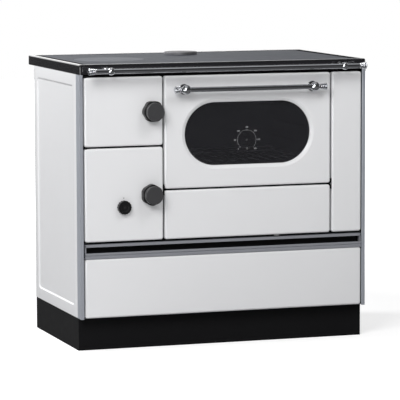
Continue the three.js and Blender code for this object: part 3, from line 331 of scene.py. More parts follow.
class Nodes:
    """One material's or world's nodes."""

    def __init__(self, tree: bpy.types.NodeTree) -> None:
        """Empties the tree to fill it anew."""
        self.tree = tree
        tree.nodes.clear()

    def add(
        self, kind: str, settings: Optional[dict[str, Any]] = None,
        inputs: Optional[dict[Union[str, int], Value]] = None, output: Union[str, int] = 0,
    ) -> Optional[Socket]:
        """Adds a node.

        Args:
            kind: the node's type.
            settings: its own settings.
            inputs: values or links by its sockets' names or numbers.
            output: the socket to hand back.

        Returns:
            That output, where the node has one.
        """
        node = self.tree.nodes.new(kind)
        for key, value in (settings or {}).items():
            setattr(node, key, value)
        for key, value in (inputs or {}).items():
            if isinstance(value, Socket):
                self.tree.links.new(value.socket, node.inputs[key])
            elif value is not None:
                fits = hasattr(node.inputs[key].default_value, "__len__") and len(value) == 3
                wide = fits and len(node.inputs[key].default_value) == 4
                node.inputs[key].default_value = (*value, 1.0) if wide else value
        return Socket(self, node.outputs[output]) if len(node.outputs) else None

    def outputs(self, kind: str, names: Iterable[str], source: Optional[Socket] = None) -> list[Socket]:
        """Several outputs of one new node, by name; a source is linked to its first input."""
        node = self.add(kind, inputs={0: source} if source else None).socket.node
        return [Socket(self, node.outputs[name]) for name in names]

    def where(self) -> Socket:
        """The point's place on the object."""
        return self.add("ShaderNodeTexCoord", output="Object")

    def length(self, vector: Socket) -> Socket:
        """A vector's length."""
        return self.add("ShaderNodeVectorMath", {"operation": "LENGTH"}, {0: vector}, "Value")

    def scaled(self, scale: Sequence[float], centre: Sequence[float] = (0.0, 0.0, 0.0)) -> Socket:
        """The point's place from a centre, stretched by a scale along each axis."""
        moved = self.add("ShaderNodeVectorMath", {"operation": "SUBTRACT"}, {0: self.where(), 1: centre})
        return self.add("ShaderNodeVectorMath", {"operation": "MULTIPLY"}, {0: moved, 1: scale})

    def noise(
        self, scale: float, detail: float = 3.0, where: Optional[Socket] = None, rough: float = 0.5,
    ) -> Socket:
        """Cloudy values about 0.5, scale of them to a metre."""
        place = {"Vector": where or self.where(), "Scale": scale, "Detail": detail, "Roughness": rough}
        return self.add("ShaderNodeTexNoise", {}, place, "Fac")

    def blend(self, factor: Value, first: Value, second: Value) -> Socket:
        """A colour between two, by a factor."""
        kind = {"data_type": "RGBA", "clamp_factor": True}
        return self.add("ShaderNodeMix", kind, {0: factor, 6: first, 7: second}, 2)

    def eased(self, value: Value, start: float, end: float, low: float = 0.0, high: float = 1.0) -> Socket:
        """A value taken from the range start to end to the range low to high, eased at both ends."""
        ends = {"Value": value, "From Min": start, "From Max": end, "To Min": low, "To Max": high}
        return self.add("ShaderNodeMapRange", {"interpolation_type": "SMOOTHSTEP"}, ends)

    def bump(
        self, height: Value, depth: float, strength: float = 1.0, over: Optional[Socket] = None,
    ) -> Socket:
        """A normal tilted by a height that is depth metres at 1."""
        sockets = {"Height": height, "Distance": depth, "Strength": strength, "Normal": over}
        return self.add("ShaderNodeBump", {}, sockets)


# ---- Finishes ----


@dataclass(frozen=True)
class Finish:
    """A surface's colour and gloss, with the fine marks that its kinds add.

    mottle and rough_spread are how far the cloudy patches vary the colour and the roughness, and the two
    scales are their numbers to a metre. edge_tint dims the reflection at a grazing angle, and sheen is the
    strength of the clear reflection over a surface that isn't metal.
    """

    name: str
    colour: Colour
    roughness: float
    metallic: float = 0.0
    mottle: float = 0.04
    mottle_scale: float = 9.0
    rough_spread: float = 0.08
    rough_scale: float = 40.0
    coat: float = 0.0
    edge_tint: float = 1.0
    sheen: float = 0.5

    def shade(self, factor: float) -> Colour:
        """The finish's colour made lighter or darker."""
        return tuple(min(part * factor, 1.0) for part in self.colour)

    def surface(self, nodes: Nodes) -> dict[str, Value]:
        """The shader's sockets; cloudy patches vary the colour and the gloss.

        Args:
            nodes: the material's nodes.

        Returns:
            Values or links by socket name.
        """
        clouds = nodes.noise(self.mottle_scale, detail=4.0)
        colour = nodes.blend(clouds, self.shade(1 - self.mottle), self.shade(1 + self.mottle))
        smoothest = self.roughness - self.rough_spread / 2
        gloss = nodes.noise(self.rough_scale, detail=2.0) * self.rough_spread + smoothest
        return {
            "Base Color": colour, "Roughness": gloss, "Metallic": self.metallic, "Coat Weight": self.coat,
            "Specular Tint": (self.edge_tint,) * 3, "Specular IOR Level": self.sheen,
        }

    def material(self) -> bpy.types.Material:
        """The finish's material, made on first use.

        Returns:
            The material.
        """
        made = bpy.data.materials.get(self.name)
        if made:
            return made
        material = bpy.data.materials.new(self.name)
        material.use_nodes = True
        nodes = Nodes(material.node_tree)
        shader = nodes.add("ShaderNodeBsdfPrincipled", {}, self.surface(nodes))
        nodes.add("ShaderNodeOutputMaterial", {}, {"Surface": shader})
        return material


@dataclass(frozen=True)
class Enamel(Finish):
    """Fired glass enamel: a glossy skin with a slight orange peel and the sheet's faint waves under it."""

    peel: float = 0.00002
    peel_scale: float = 230.0
    wave: float = 0.0005
    wave_scale: float = 7.0

    def surface(self, nodes: Nodes) -> dict[str, Value]:
        """The plain sockets, with a normal from the waves and the peel.

        Args:
            nodes: the material's nodes.

        Returns:
            Values or links by socket name.
        """
        sockets = super().surface(nodes)
        waves = nodes.bump(nodes.noise(self.wave_scale, detail=1.0), self.wave, strength=0.5)
        sockets["Normal"] = nodes.bump(nodes.noise(self.peel_scale, detail=2.0), self.peel, over=waves)
        return sockets


@dataclass(frozen=True)
class Drawn(Finish):
    """Metal with fine straight lines along one axis, as rolling, drawing or grinding leaves."""

    grain: Sequence[float] = (6.0, 900.0, 900.0)
    groove: float = 0.00004

    def surface(self, nodes: Nodes) -> dict[str, Value]:
        """The plain sockets, with lines in the gloss and the normal.

        Args:
            nodes: the material's nodes.

        Returns:
            Values or links by socket name.
        """
        sockets = super().surface(nodes)
        lines = nodes.noise(1.0, where=nodes.scaled(self.grain))
        sockets["Roughness"] = sockets["Roughness"] + (lines - 0.5) * self.rough_spread * 2
        sockets["Normal"] = nodes.bump(lines, self.groove, strength=0.6)
        return sockets


@dataclass(frozen=True)
class PlateSteel(Drawn):
    """Ground steel with painted shade: black and dull at its cut edges and along narrow margins at its front
    and sides, for the shaded groove beside the frame.

    top, side and front are where the plate's faces lie in metres, margins and rim are measured in from
    them, and each margin fades in over the length of fade. soot is the margins' share of the colour, the
    painted shade of the groove beside the frame.
    """

    top: float = 0.849
    side: float = 0.43
    front: float = -0.24125
    side_margin: float = 0.008
    front_margin: float = 0.007
    rim: Span = (0.0012, 0.0004)
    fade: float = 0.001
    soot: float = 0.02
    dulled: float = 0.5

    def surface(self, nodes: Nodes) -> dict[str, Value]:
        """The drawn sockets, with painted shade: dark at the edges and margins, where the groove to the
        frame is shaded.

        Args:
            nodes: the material's nodes.

        Returns:
            Values or links by socket name.
        """
        sockets = super().surface(nodes)
        side, ahead, height = nodes.outputs("ShaderNodeSeparateXYZ", "XYZ", nodes.where())
        across = nodes.add("ShaderNodeMath", {"operation": "ABSOLUTE"}, {0: side})
        across_end, front_end = self.side - self.side_margin, self.front + self.front_margin
        # Painted shade: below the top face and along the front and side margins the plate is painted nearly
        # black and dulled, for the shade in the groove between the plate and the frame.
        face = nodes.eased(height, *(self.top - drop for drop in self.rim))
        face = face * nodes.eased(across, across_end, across_end - self.fade)
        face = face * nodes.eased(ahead, front_end, front_end + self.fade)
        sockets["Base Color"] = nodes.blend(face, self.shade(self.soot), sockets["Base Color"])
        sockets["Roughness"] = sockets["Roughness"] + (1 - face) * self.dulled
        return sockets


@dataclass(frozen=True)
class Faced(Finish):
    """Steel faced in a lathe: rings round a centre, as a bump of sin(distance times pitch)."""

    centre: Sequence[float] = (0.0, 0.0, 0.0)
    rings: float = 2600.0
    groove: float = 0.00003
    break_scale: float = 60.0

    def surface(self, nodes: Nodes) -> dict[str, Value]:
        """The plain sockets, with rings in the normal.

        Args:
            nodes: the material's nodes.

        Returns:
            Values or links by socket name.
        """
        sockets = super().surface(nodes)
        distance = nodes.length(nodes.scaled((1.0, 1.0, 0.0), self.centre))
        wave = nodes.add("ShaderNodeMath", {"operation": "SINE"}, {0: distance * self.rings})
        broken = (wave * 0.5 + 0.5) * nodes.noise(self.break_scale, detail=2.0)
        sockets["Normal"] = nodes.bump(broken, self.groove, strength=0.5)
        return sockets


@dataclass(frozen=True)
class Cast(Finish):
    """Sand-cast, painted or fired material with a grainy skin and a few pits."""

    grit: float = 0.0002
    grit_scale: float = 420.0
    pit_scale: float = 0.2
    pit_edge: Span = (0.28, 0.4)

    def surface(self, nodes: Nodes) -> dict[str, Value]:
        """The plain sockets, with grains in the normal.

        Args:
            nodes: the material's nodes.

        Returns:
            Values or links by socket name.
        """
        sockets = super().surface(nodes)
        grains = nodes.noise(self.grit_scale, detail=4.0, rough=0.65)
        pits = nodes.eased(nodes.noise(self.grit_scale * self.pit_scale, detail=2.0), *self.pit_edge)
        sockets["Normal"] = nodes.bump(grains * pits, self.grit, strength=0.7)
        return sockets


@dataclass(frozen=True)
class Spangled(Finish):
    """Galvanised sheet: flat crystals that differ in shade and gloss."""

    crystal_scale: float = 90.0
    darkest: float = 0.82
    lightest: float = 1.12
    gloss_step: float = 0.16

    def surface(self, nodes: Nodes) -> dict[str, Value]:
        """The plain sockets, with crystals in the colour and the gloss.

        Args:
            nodes: the material's nodes.

        Returns:
            Values or links by socket name.
        """
        sockets = super().surface(nodes)
        place = {"Vector": nodes.where(), "Scale": self.crystal_scale}
        crystals = nodes.add("ShaderNodeTexVoronoi", {}, place, "Color")
        shade = nodes.add("ShaderNodeSeparateColor", {}, {0: crystals})
        sockets["Base Color"] = nodes.blend(shade, self.shade(self.darkest), self.shade(self.lightest))
        sockets["Roughness"] = sockets["Roughness"] + (shade - 0.5) * self.gloss_step
        return sockets


@dataclass(frozen=True)
class Glazing(Finish):
    """Dark heat-resisting glass that lets the oven show faintly."""

    clear: float = 0.5

    def surface(self, nodes: Nodes) -> dict[str, Value]:
        """The plain sockets, with the pane's clearness."""
        return super().surface(nodes) | {"Alpha": 1 - self.clear}


@dataclass(frozen=True)
class FloorPaint(Finish):
    """A pale studio floor that brightens to plain white away from the stove, and is painted dim in mirrors.

    glow_reach is the distances between which its glow grows, and glow its strength at them. Painted
    reflections: mirrors alone see a glowing white card on it at the left and front, and faint glowing
    streaks that fade towards the back. A span is the two places between which a value changes, and where it
    has four numbers the last two are its values there.
    """

    glow_reach: Span = (0.9, 2.2)
    glow: Span = (0.6, 1.5)
    mirrored: float = 0.06
    card_left: Span = (-2.5, -3.5)
    card_front: Span = (-0.2, -0.8)
    card_glow: float = 8.0
    streak_scale: Span = (7.0, 0.15, 1.0)
    streak_spread: Span = (0.3, 0.7, 0.3, 1.7)
    streak_fade: Span = (1.5, -0.5, 0.1, 1.0)
    streak_glow: float = 0.1

    def surface(self, nodes: Nodes) -> dict[str, Value]:
        """The plain sockets, with a white glow to the camera, and painted reflections to mirrors: glowing
        streaks, a glowing white card and a dimmed floor.

        Args:
            nodes: the material's nodes.

        Returns:
            Values or links by socket name.
        """
        sockets = super().surface(nodes)
        camera, glossy = nodes.outputs("ShaderNodeLightPath", ("Is Camera Ray", "Is Glossy Ray"))
        across, ahead = nodes.outputs("ShaderNodeSeparateXYZ", "XY", nodes.where())
        # Painted reflections: the card and the streaks glow to mirrors only, and are no lamp.
        card = nodes.eased(across, *self.card_left) * nodes.eased(ahead, *self.card_front) * self.card_glow
        bands = nodes.eased(nodes.noise(1.0, where=nodes.scaled(self.streak_scale)), *self.streak_spread)
        streaks = bands * nodes.eased(ahead, *self.streak_fade) * self.streak_glow
        glow = nodes.eased(nodes.length(nodes.where()), *self.glow_reach, *self.glow) * camera
        glow = glow + (streaks + card) * glossy
        # Painted reflection: mirrors see the floor's colour dimmed to a share of mirrored.
        sockets["Base Color"] = nodes.blend(glossy, sockets["Base Color"], self.shade(self.mirrored))
        sockets["Emission Color"] = nodes.add("ShaderNodeCombineXYZ", {}, {0: glow, 1: glow, 2: glow})
        return sockets | {"Emission Strength": 1.0, "Specular IOR Level": 0.0}


WHITE_ENAMEL = Enamel("white enamel", (0.80, 0.805, 0.82), 0.2, mottle=0.008, mottle_scale=5.0,
                      rough_spread=0.05)
BLACK_ENAMEL = Enamel("black enamel", (0.012, 0.012, 0.014), 0.12, rough_spread=0.06, coat=0.4, wave=0.0003)
BLACK_PAINT = Cast("black paint", (0.008, 0.008, 0.009), 0.6, sheen=0.12, grit=0.00005, grit_scale=900.0)
ALUMINIUM_UP = Drawn("upright satin aluminium", (0.34, 0.36, 0.40), 0.45, metallic=0.15, mottle=0.03,
                     grain=(900.0, 900.0, 6.0))
ALUMINIUM_ACROSS = Drawn("satin aluminium", (0.33, 0.34, 0.375), 0.42, metallic=0.3, mottle=0.03)
CHROME = Finish("bright chrome", (0.66, 0.67, 0.70), 0.07, metallic=1.0, mottle=0.02, mottle_scale=20.0,
                rough_spread=0.04, rough_scale=90.0)
RAIL_CHROME = Drawn("polished rail chrome", (0.48, 0.49, 0.52), 0.09, metallic=1.0, mottle=0.02,
                    mottle_scale=20.0, rough_spread=0.04, grain=(3.0, 500.0, 500.0), groove=0.00001)
PLATE_STEEL = PlateSteel("ground cooktop steel", (0.144, 0.157, 0.192), 0.42, metallic=0.9, mottle=0.10,
                         mottle_scale=6.0, rough_spread=0.12, grain=(5.0, 420.0, 420.0), groove=0.00003,
                         edge_tint=0.35)
HOTPLATE_STEEL = Faced("faced hotplate steel", (0.20, 0.217, 0.26), 0.38, metallic=0.9, mottle=0.08,
                       mottle_scale=8.0, rough_spread=0.1, centre=(-0.28, 0.00675, 0.0), edge_tint=0.4)
CAST_IRON = Cast("cast iron", (0.05, 0.05, 0.052), 0.62, metallic=0.5, mottle=0.1)
CAP_IRON = Cast("machined flue cap iron", (0.2, 0.2, 0.21), 0.5, metallic=0.7, mottle=0.06, grit=0.00008)
KNOB_BASE = Cast("knob base plastic", (0.012, 0.012, 0.013), 0.42, grit=0.00003, grit_scale=1500.0)
KNOB_CAP = Cast("knob cap plastic", (0.05, 0.05, 0.053), 0.3, grit=0.00002, grit_scale=1500.0)
BLACK_PLASTIC = Cast("regulator plastic", (0.008, 0.008, 0.009), 0.35, grit=0.00003, grit_scale=1500.0)
GALVANISED = Spangled("galvanised sheet", (0.36, 0.37, 0.38), 0.42, metallic=0.85)
FIREBRICK = Cast("firebrick", (0.48, 0.38, 0.26), 0.9, mottle=0.15, mottle_scale=60.0, grit=0.0006,
                 grit_scale=200.0)
OVEN_ENAMEL = Enamel("oven enamel", (0.03, 0.03, 0.033), 0.25, mottle=0.5, mottle_scale=500.0)
DARK_GLASS = Glazing("door glass", (0.026, 0.026, 0.03), 0.03, mottle=0.1, rough_spread=0.02)
DIAL_WHITE = Finish("dial print", (0.52, 0.52, 0.53), 0.5, mottle=0.03, mottle_scale=900.0)
POINTER_GREY = Finish("pointer lacquer", (0.05, 0.05, 0.052), 0.4, mottle=0.03, mottle_scale=900.0)
RACK_WIRE = Finish("plated rack wire", (0.55, 0.55, 0.56), 0.3, metallic=0.4, mottle=0.05, mottle_scale=60.0)
CATCH_STEEL = Finish("bright catch steel", (0.3, 0.3, 0.31), 0.3, metallic=0.3, mottle=0.03,
                     mottle_scale=60.0)
INDEX_GREY = Finish("index mark", (0.25, 0.25, 0.26), 0.5, mottle=0.03, mottle_scale=900.0)

CARRIED = {
    BLACK_PAINT: ("plinth", "front_frame", "firebox_casing", "smoke_duct"),
    GALVANISED: ("base_plate", "back_panel", "drawer_box", "drawer_runner_left", "drawer_runner_right",
                 "drawer_bay_roof", "ash_pan", "fire_door_latch", "ash_door_latch"),
    CAST_IRON: ("fire_door_liner", "ash_door_liner", "air_regulator_disc", "fire_grate"),
    FIREBRICK: ("firebrick_left", "firebrick_right", "firebrick_rear"),
    OVEN_ENAMEL: ("oven_box", "oven_door_inner_panel"),
    DARK_GLASS: ("oven_door_glass",),
    POINTER_GREY: ("thermometer_pointer",),
    CATCH_STEEL: ("lower_panel_catch",),
}


# ---- Enamelled fronts ----


@dataclass
class Pan:
    """A pressed pan: a face rolled over at its edges into walls, open at the back."""

    x: float
    z: float
    width: float
    height: float
    y: float = -2.0
    depth: float = 18.0
    sheet: float = 1.6
    edge: float = 6.0
    corner: float = 7.0
    least_corner: float = 0.4
    support: float = 1.0
    steps: int = EDGE_STEPS

    def ring(self, inset: float, depth: float) -> Array:
        """The pan's outline drawn in, at a depth behind its face.

        Args:
            inset: how much it is drawn in.
            depth: how far it is behind the face.

        Returns:
            The ring's points.
        """
        radius = max(self.corner - inset, self.least_corner)
        outline = rounded(self.x + inset, self.x + self.width - inset,
                          self.z + inset, self.z + self.height - inset, radius, self.steps)
        return along(outline, Axis.Y, self.y + depth)

    def roll(self, radius: float) -> list[Array]:
        """The rolled edge: rings at (edge - r sin t, edge - r cos t), with t from face to wall."""
        turn = np.radians(np.linspace(0, 90, EDGE_STEPS + 1))
        return [self.ring(self.edge - radius * math.sin(t), self.edge - radius * math.cos(t)) for t in turn]

    def outside(self) -> list[Array]:
        """Rings from the flat of the face over the rolled edge to the wall's end."""
        return [self.ring(self.edge + self.support, 0), *self.roll(self.edge), self.ring(0, self.depth)]

    def inside(self) -> list[Array]:
        """Rings from the inner wall's end back to the flat behind the face."""
        return [self.ring(self.sheet, self.depth), *reversed(self.roll(self.edge - self.sheet)),
                self.ring(self.edge + self.support, self.sheet)]

    def skin(self) -> Skin:
        """The whole closed pan."""
        return Skin().loft(self.outside() + self.inside())


@dataclass
class Knob:
    """A door knob: a six-sided base with soft corners under a round cap.

    turn is the hexagon's angle in degrees, flats and corner are its widths, and dish_steps are how far
    inside the rim the cap's dish starts, ends its slope and closes.
    """

    x: float
    z: float
    turn: float
    y: float = -2.0
    flats: float = 60.0
    corner: float = 64.0
    softness: float = 0.5
    base_depth: float = 20.0
    base_chamfer: float = 1.5
    base_edge: float = 2.5
    cap: float = 54.0
    depth: float = 38.0
    neck: float = 3.5
    neck_inset: float = 3.0
    shoulder: float = 2.0
    overlap: float = 0.5
    rim: float = 2.5
    dish: float = 0.8
    dish_steps: Span = (1.5, 3.5, 4.5)
    dish_start: float = 0.1
    count: int = 180

    def outline(self, share: float, shrink: float, place: float) -> Array:
        """A ring between the hexagon (share 0) and the cap's circle (share 1).

        The hexagon's radius at angle t is flats / 2 / cos(t within its side), and its corners are rounded by
        a smooth least value with the circle across its corners.

        Args:
            share: how far the ring is from the hexagon to the circle.
            shrink: how much the ring is drawn in.
            place: its depth in front of the door.

        Returns:
            The ring's points.
        """
        angle = np.linspace(0, 2 * np.pi, self.count, endpoint=False)
        side = np.mod(angle - math.radians(self.turn), np.pi / 3) - np.pi / 6
        sides = np.array([self.flats / 2 / np.cos(side), np.full_like(side, self.corner / 2)])
        hexagon = -self.softness * np.log(np.exp(-sides / self.softness).sum(axis=0))
        radius = hexagon * (1 - share) + self.cap / 2 * share - shrink
        return along(polar(self.x, self.z, radius, angle), Axis.Y, self.y - place)

    def base(self) -> Skin:
        """The hexagon, chamfered at the door and rounded at its front edge.

        Returns:
            The closed base.
        """
        edge = self.base_depth - self.base_edge
        steps = [(self.base_chamfer, SEAT_GAP), (0.0, SEAT_GAP + self.base_chamfer), (0.0, edge)]
        steps += [(draw, edge + advance) for draw, advance in rolled(self.base_edge, 15, 5)]
        return Skin().loft([self.outline(0.0, shrink, place) for shrink, place in steps])

    def lid(self) -> Skin:
        """The round cap on its neck, with a rolled rim about a shallow dish.

        Returns:
            The closed cap.
        """
        under, edge, floor = self.base_depth + self.neck, self.depth - self.rim, self.depth - self.dish
        start, slope, end = (self.rim + step for step in self.dish_steps)
        steps = [(self.neck_inset, self.base_depth - self.overlap), (self.neck_inset, under - self.shoulder),
                 (0.0, under), (0.0, edge)]
        steps += [(draw, edge + advance) for draw, advance in rolled(self.rim, 12, 6)]
        steps += [(start, self.depth - self.dish_start), (slope, floor), (end, floor)]
        return Skin().loft([self.outline(1.0, shrink, place) for shrink, place in steps])

    def build(self, prefix: str, body: str) -> None:
        """Makes the base and the cap.

        Args:
            prefix: the door's name.
            body: the latch body that the knob turns with.
        """
        node = f"{prefix}_knob"
        self.base().piece(f"{node}_base", body, "knob_plastic", KNOB_BASE, [node])
        self.lid().piece(f"{node}_cap", body, "knob_plastic", KNOB_CAP, [node])


@dataclass
class Regulator:
    """The fluted air regulator knob and the index mark above it.

    Each point of index_print is a share of the mark's radius, at a depth behind the door's face.
    """

    x: float = 132.5
    z: float = 427.0
    y: float = -2.0
    radius: float = 20.7
    depth: float = 14.0
    flutes: int = 16
    flute_depth: float = 1.2
    chamfer: float = 2.0
    dish_radius: float = 12.6
    dish_slope: float = 1.5
    dish_edge: float = 1.0
    dish: float = 1.6
    index_rise: float = 27.2
    index_radius: float = 1.7
    index_print: Profile = ((0.0, 0.05), (1.0, 0.05), (1.0, -0.08), (0.0, -0.12))
    count: int = 192

    def ring(self, radius: float, flute: float, place: float) -> Array:
        """A circle whose radius dips by flute times (1 - cos(flutes t)) / 2 at angle t.

        Args:
            radius: the circle's radius.
            flute: the depth of its flutes.
            place: its depth in front of the door.

        Returns:
            The ring's points.
        """
        angle = np.linspace(0, 2 * np.pi, self.count, endpoint=False)
        reach = radius - flute * (0.5 - 0.5 * np.cos(self.flutes * angle))
        return along(polar(self.x, self.z, reach, angle), Axis.Y, self.y - place)

    def build(self) -> None:
        """Makes the knob and the mark."""
        edge, floor = self.depth - self.chamfer, self.depth - self.dish
        slope_end = self.dish_radius - self.dish_slope
        steps = [(self.radius, self.flute_depth, SEAT_GAP), (self.radius, self.flute_depth, edge)]
        steps += [(self.radius - draw, self.flute_depth * (1 - draw / self.chamfer), edge + advance)
                  for draw, advance in rolled(self.chamfer, 15, 5)]
        steps += [(self.dish_radius, 0.0, self.depth), (slope_end, 0.0, floor),
                  (slope_end - self.dish_edge, 0.0, floor)]
        grip = Skin().loft([self.ring(*step) for step in steps])
        grip.piece("air_regulator_grip", "air_regulator", "regulator_plastic", BLACK_PLASTIC,
                   ["air_regulator_knob"])
        mark = [(self.index_radius * share, self.y + depth) for share, depth in self.index_print]
        index = Skin().spun(mark, Axis.Y, self.x, self.z + self.index_rise, 24)
        index.piece("air_regulator_index", "ash_door", "regulator_plastic", INDEX_GREY)


@dataclass
class SideDoors:
    """The fire door over the ash door, with their knobs and the air regulator."""

    x: float = 14.0
    width: float = 241.0
    fire_z: float = 607.5
    fire_height: float = 204.0
    ash_z: float = 326.0
    ash_height: float = 276.0
    fire_knob_x: float = 222.0
    fire_knob_z: float = 708.5
    ash_knob_x: float = 217.0
    ash_knob_z: float = 461.5

    def build(self) -> None:
        """Makes both doors and what is on them."""
        doors = (("fire_door", self.fire_z, self.fire_height), ("ash_door", self.ash_z, self.ash_height))
        for door, z, height in doors:
            pan = Pan(self.x, z, self.width, height)
            pan.skin().piece(f"{door}_front", door, "white_enamel", WHITE_ENAMEL, [f"{door}_shell"])
        Knob(self.fire_knob_x, self.fire_knob_z, turn=0.0).build("fire_door", "fire_latch")
        Knob(self.ash_knob_x, self.ash_knob_z, turn=30.0).build("ash_door", "ash_latch")
        Regulator().build()


# ---- Bars with ball brackets and ringed ends ----


@dataclass
class Bar:
    """A round bar on two ball brackets, with a ringed piece at each end.

    Each waist point is how far the bracket's stem is wider than its neck, at a depth in front of the wall.
    ring_place is where each ring starts and how far it reaches, in shares of the rings' pitch.
    """

    prefix: str
    body: str
    left: float
    right: float
    axis_y: float
    axis_z: float
    wall_y: float
    ball_inset: float
    ball: float
    neck: float
    rose: float
    radius: float = 7.5
    wall: float = 1.5
    rose_edge: float = 1.5
    waist: Profile = ((2.5, 3.4), (0.9, 4.4), (0.0, 6.0))
    end_length: float = 26.0
    rings: int = 4
    ring_radius: float = 8.6
    ring_growth: float = 0.8
    ring_fullness: float = 0.6
    ring_place: Span = (0.9, 0.85)
    groove_radius: float = 6.6
    collar: Span = (0.5, 0.62)
    end_gap: float = 0.1

    def tube(self) -> None:
        """Makes the bar's tube."""
        start, end = self.left + self.end_length + SEAT_GAP, self.right - self.end_length - SEAT_GAP
        bore = self.radius - self.wall
        profile = [(bore, start), (self.radius, start), (self.radius, end), (bore, end)]
        skin = Skin().spun(profile, Axis.X, self.axis_y, self.axis_z, 72, hollow=True)
        skin.piece(f"{self.prefix}_bar", self.body, "chrome", RAIL_CHROME, [f"{self.prefix}_tube"])

    def bracket(self, side: str, x: float) -> None:
        """Makes a bracket: a bored ball round the bar, on a waisted neck and a rounded rose.

        Args:
            side: left or right.
            x: the ball's centre.
        """
        bore = self.radius + SEAT_GAP
        reach = math.degrees(math.acos(bore / self.ball))
        sphere = arc(0.0, x, self.ball, -reach, reach, 28)
        ball = np.concatenate([sphere, [(bore, sphere[-1, 1]), (bore, sphere[0, 1])]])
        wall = self.wall_y - SEAT_GAP
        seat = self.axis_y + (bore + self.ball) / 2
        edge = arc(self.rose - self.rose_edge, wall - self.rose_edge, self.rose_edge, 0, -60, 5)
        waist = [(self.neck + spread, wall - depth) for spread, depth in self.waist]
        stem = [(0.0, wall), (self.rose, wall), *edge.tolist(), *waist, (self.neck, seat), (0.0, seat)]
        skin = Skin().spun(ball, Axis.X, self.axis_y, self.axis_z, hollow=True)
        skin.spun(stem, Axis.Y, x, self.axis_z)
        skin.piece(f"{self.prefix}_ball_{side}", self.body, "chrome", CHROME,
                   [f"{self.prefix}_bracket_{side}"], crease=40)

    def end(self, side: str, inner: float, outward: float) -> None:
        """Makes a ringed end: rings with rounded crowns that grow outwards, between grooves.

        A ring rises from the groove by its height times sin(t) to the power of ring_fullness.

        Args:
            side: left or right.
            inner: where the piece meets the bar.
            outward: -1 to the left or 1 to the right.
        """
        pitch = self.end_length / (self.rings + 1)
        crown = np.sin(np.linspace(0, np.pi, EDGE_STEPS + 1)) ** self.ring_fullness
        profile = [(0.0, 0.0), (self.radius, 0.0), (self.radius, pitch * self.collar[0]),
                   (self.groove_radius, pitch * self.collar[1])]
        first, reach = self.ring_place
        for ring in range(self.rings):
            rise = (self.ring_radius + self.ring_growth * ring - self.groove_radius) * crown
            places = pitch * (first + ring + reach * np.linspace(0, 1, EDGE_STEPS + 1))
            profile += np.stack([self.groove_radius + rise, places], -1).tolist()
        profile += [(radius, self.end_length - self.end_gap) for radius in (self.groove_radius, 0.0)]
        turned_end = [(radius, inner + outward * place) for radius, place in profile]
        skin = Skin().spun(turned_end, Axis.X, self.axis_y, self.axis_z, 56)
        skin.piece(f"{self.prefix}_ringed_end_{side}", self.body, "chrome", CHROME,
                   [f"{self.prefix}_finial_{side}"], crease=50)

    def build(self) -> None:
        """Makes the whole bar."""
        self.tube()
        for side, inner, outward in (("left", self.left, -1.0), ("right", self.right, 1.0)):
            self.bracket(side, inner - outward * self.ball_inset)
            self.end(side, inner - outward * self.end_length, outward)


# ---- Oven door ----


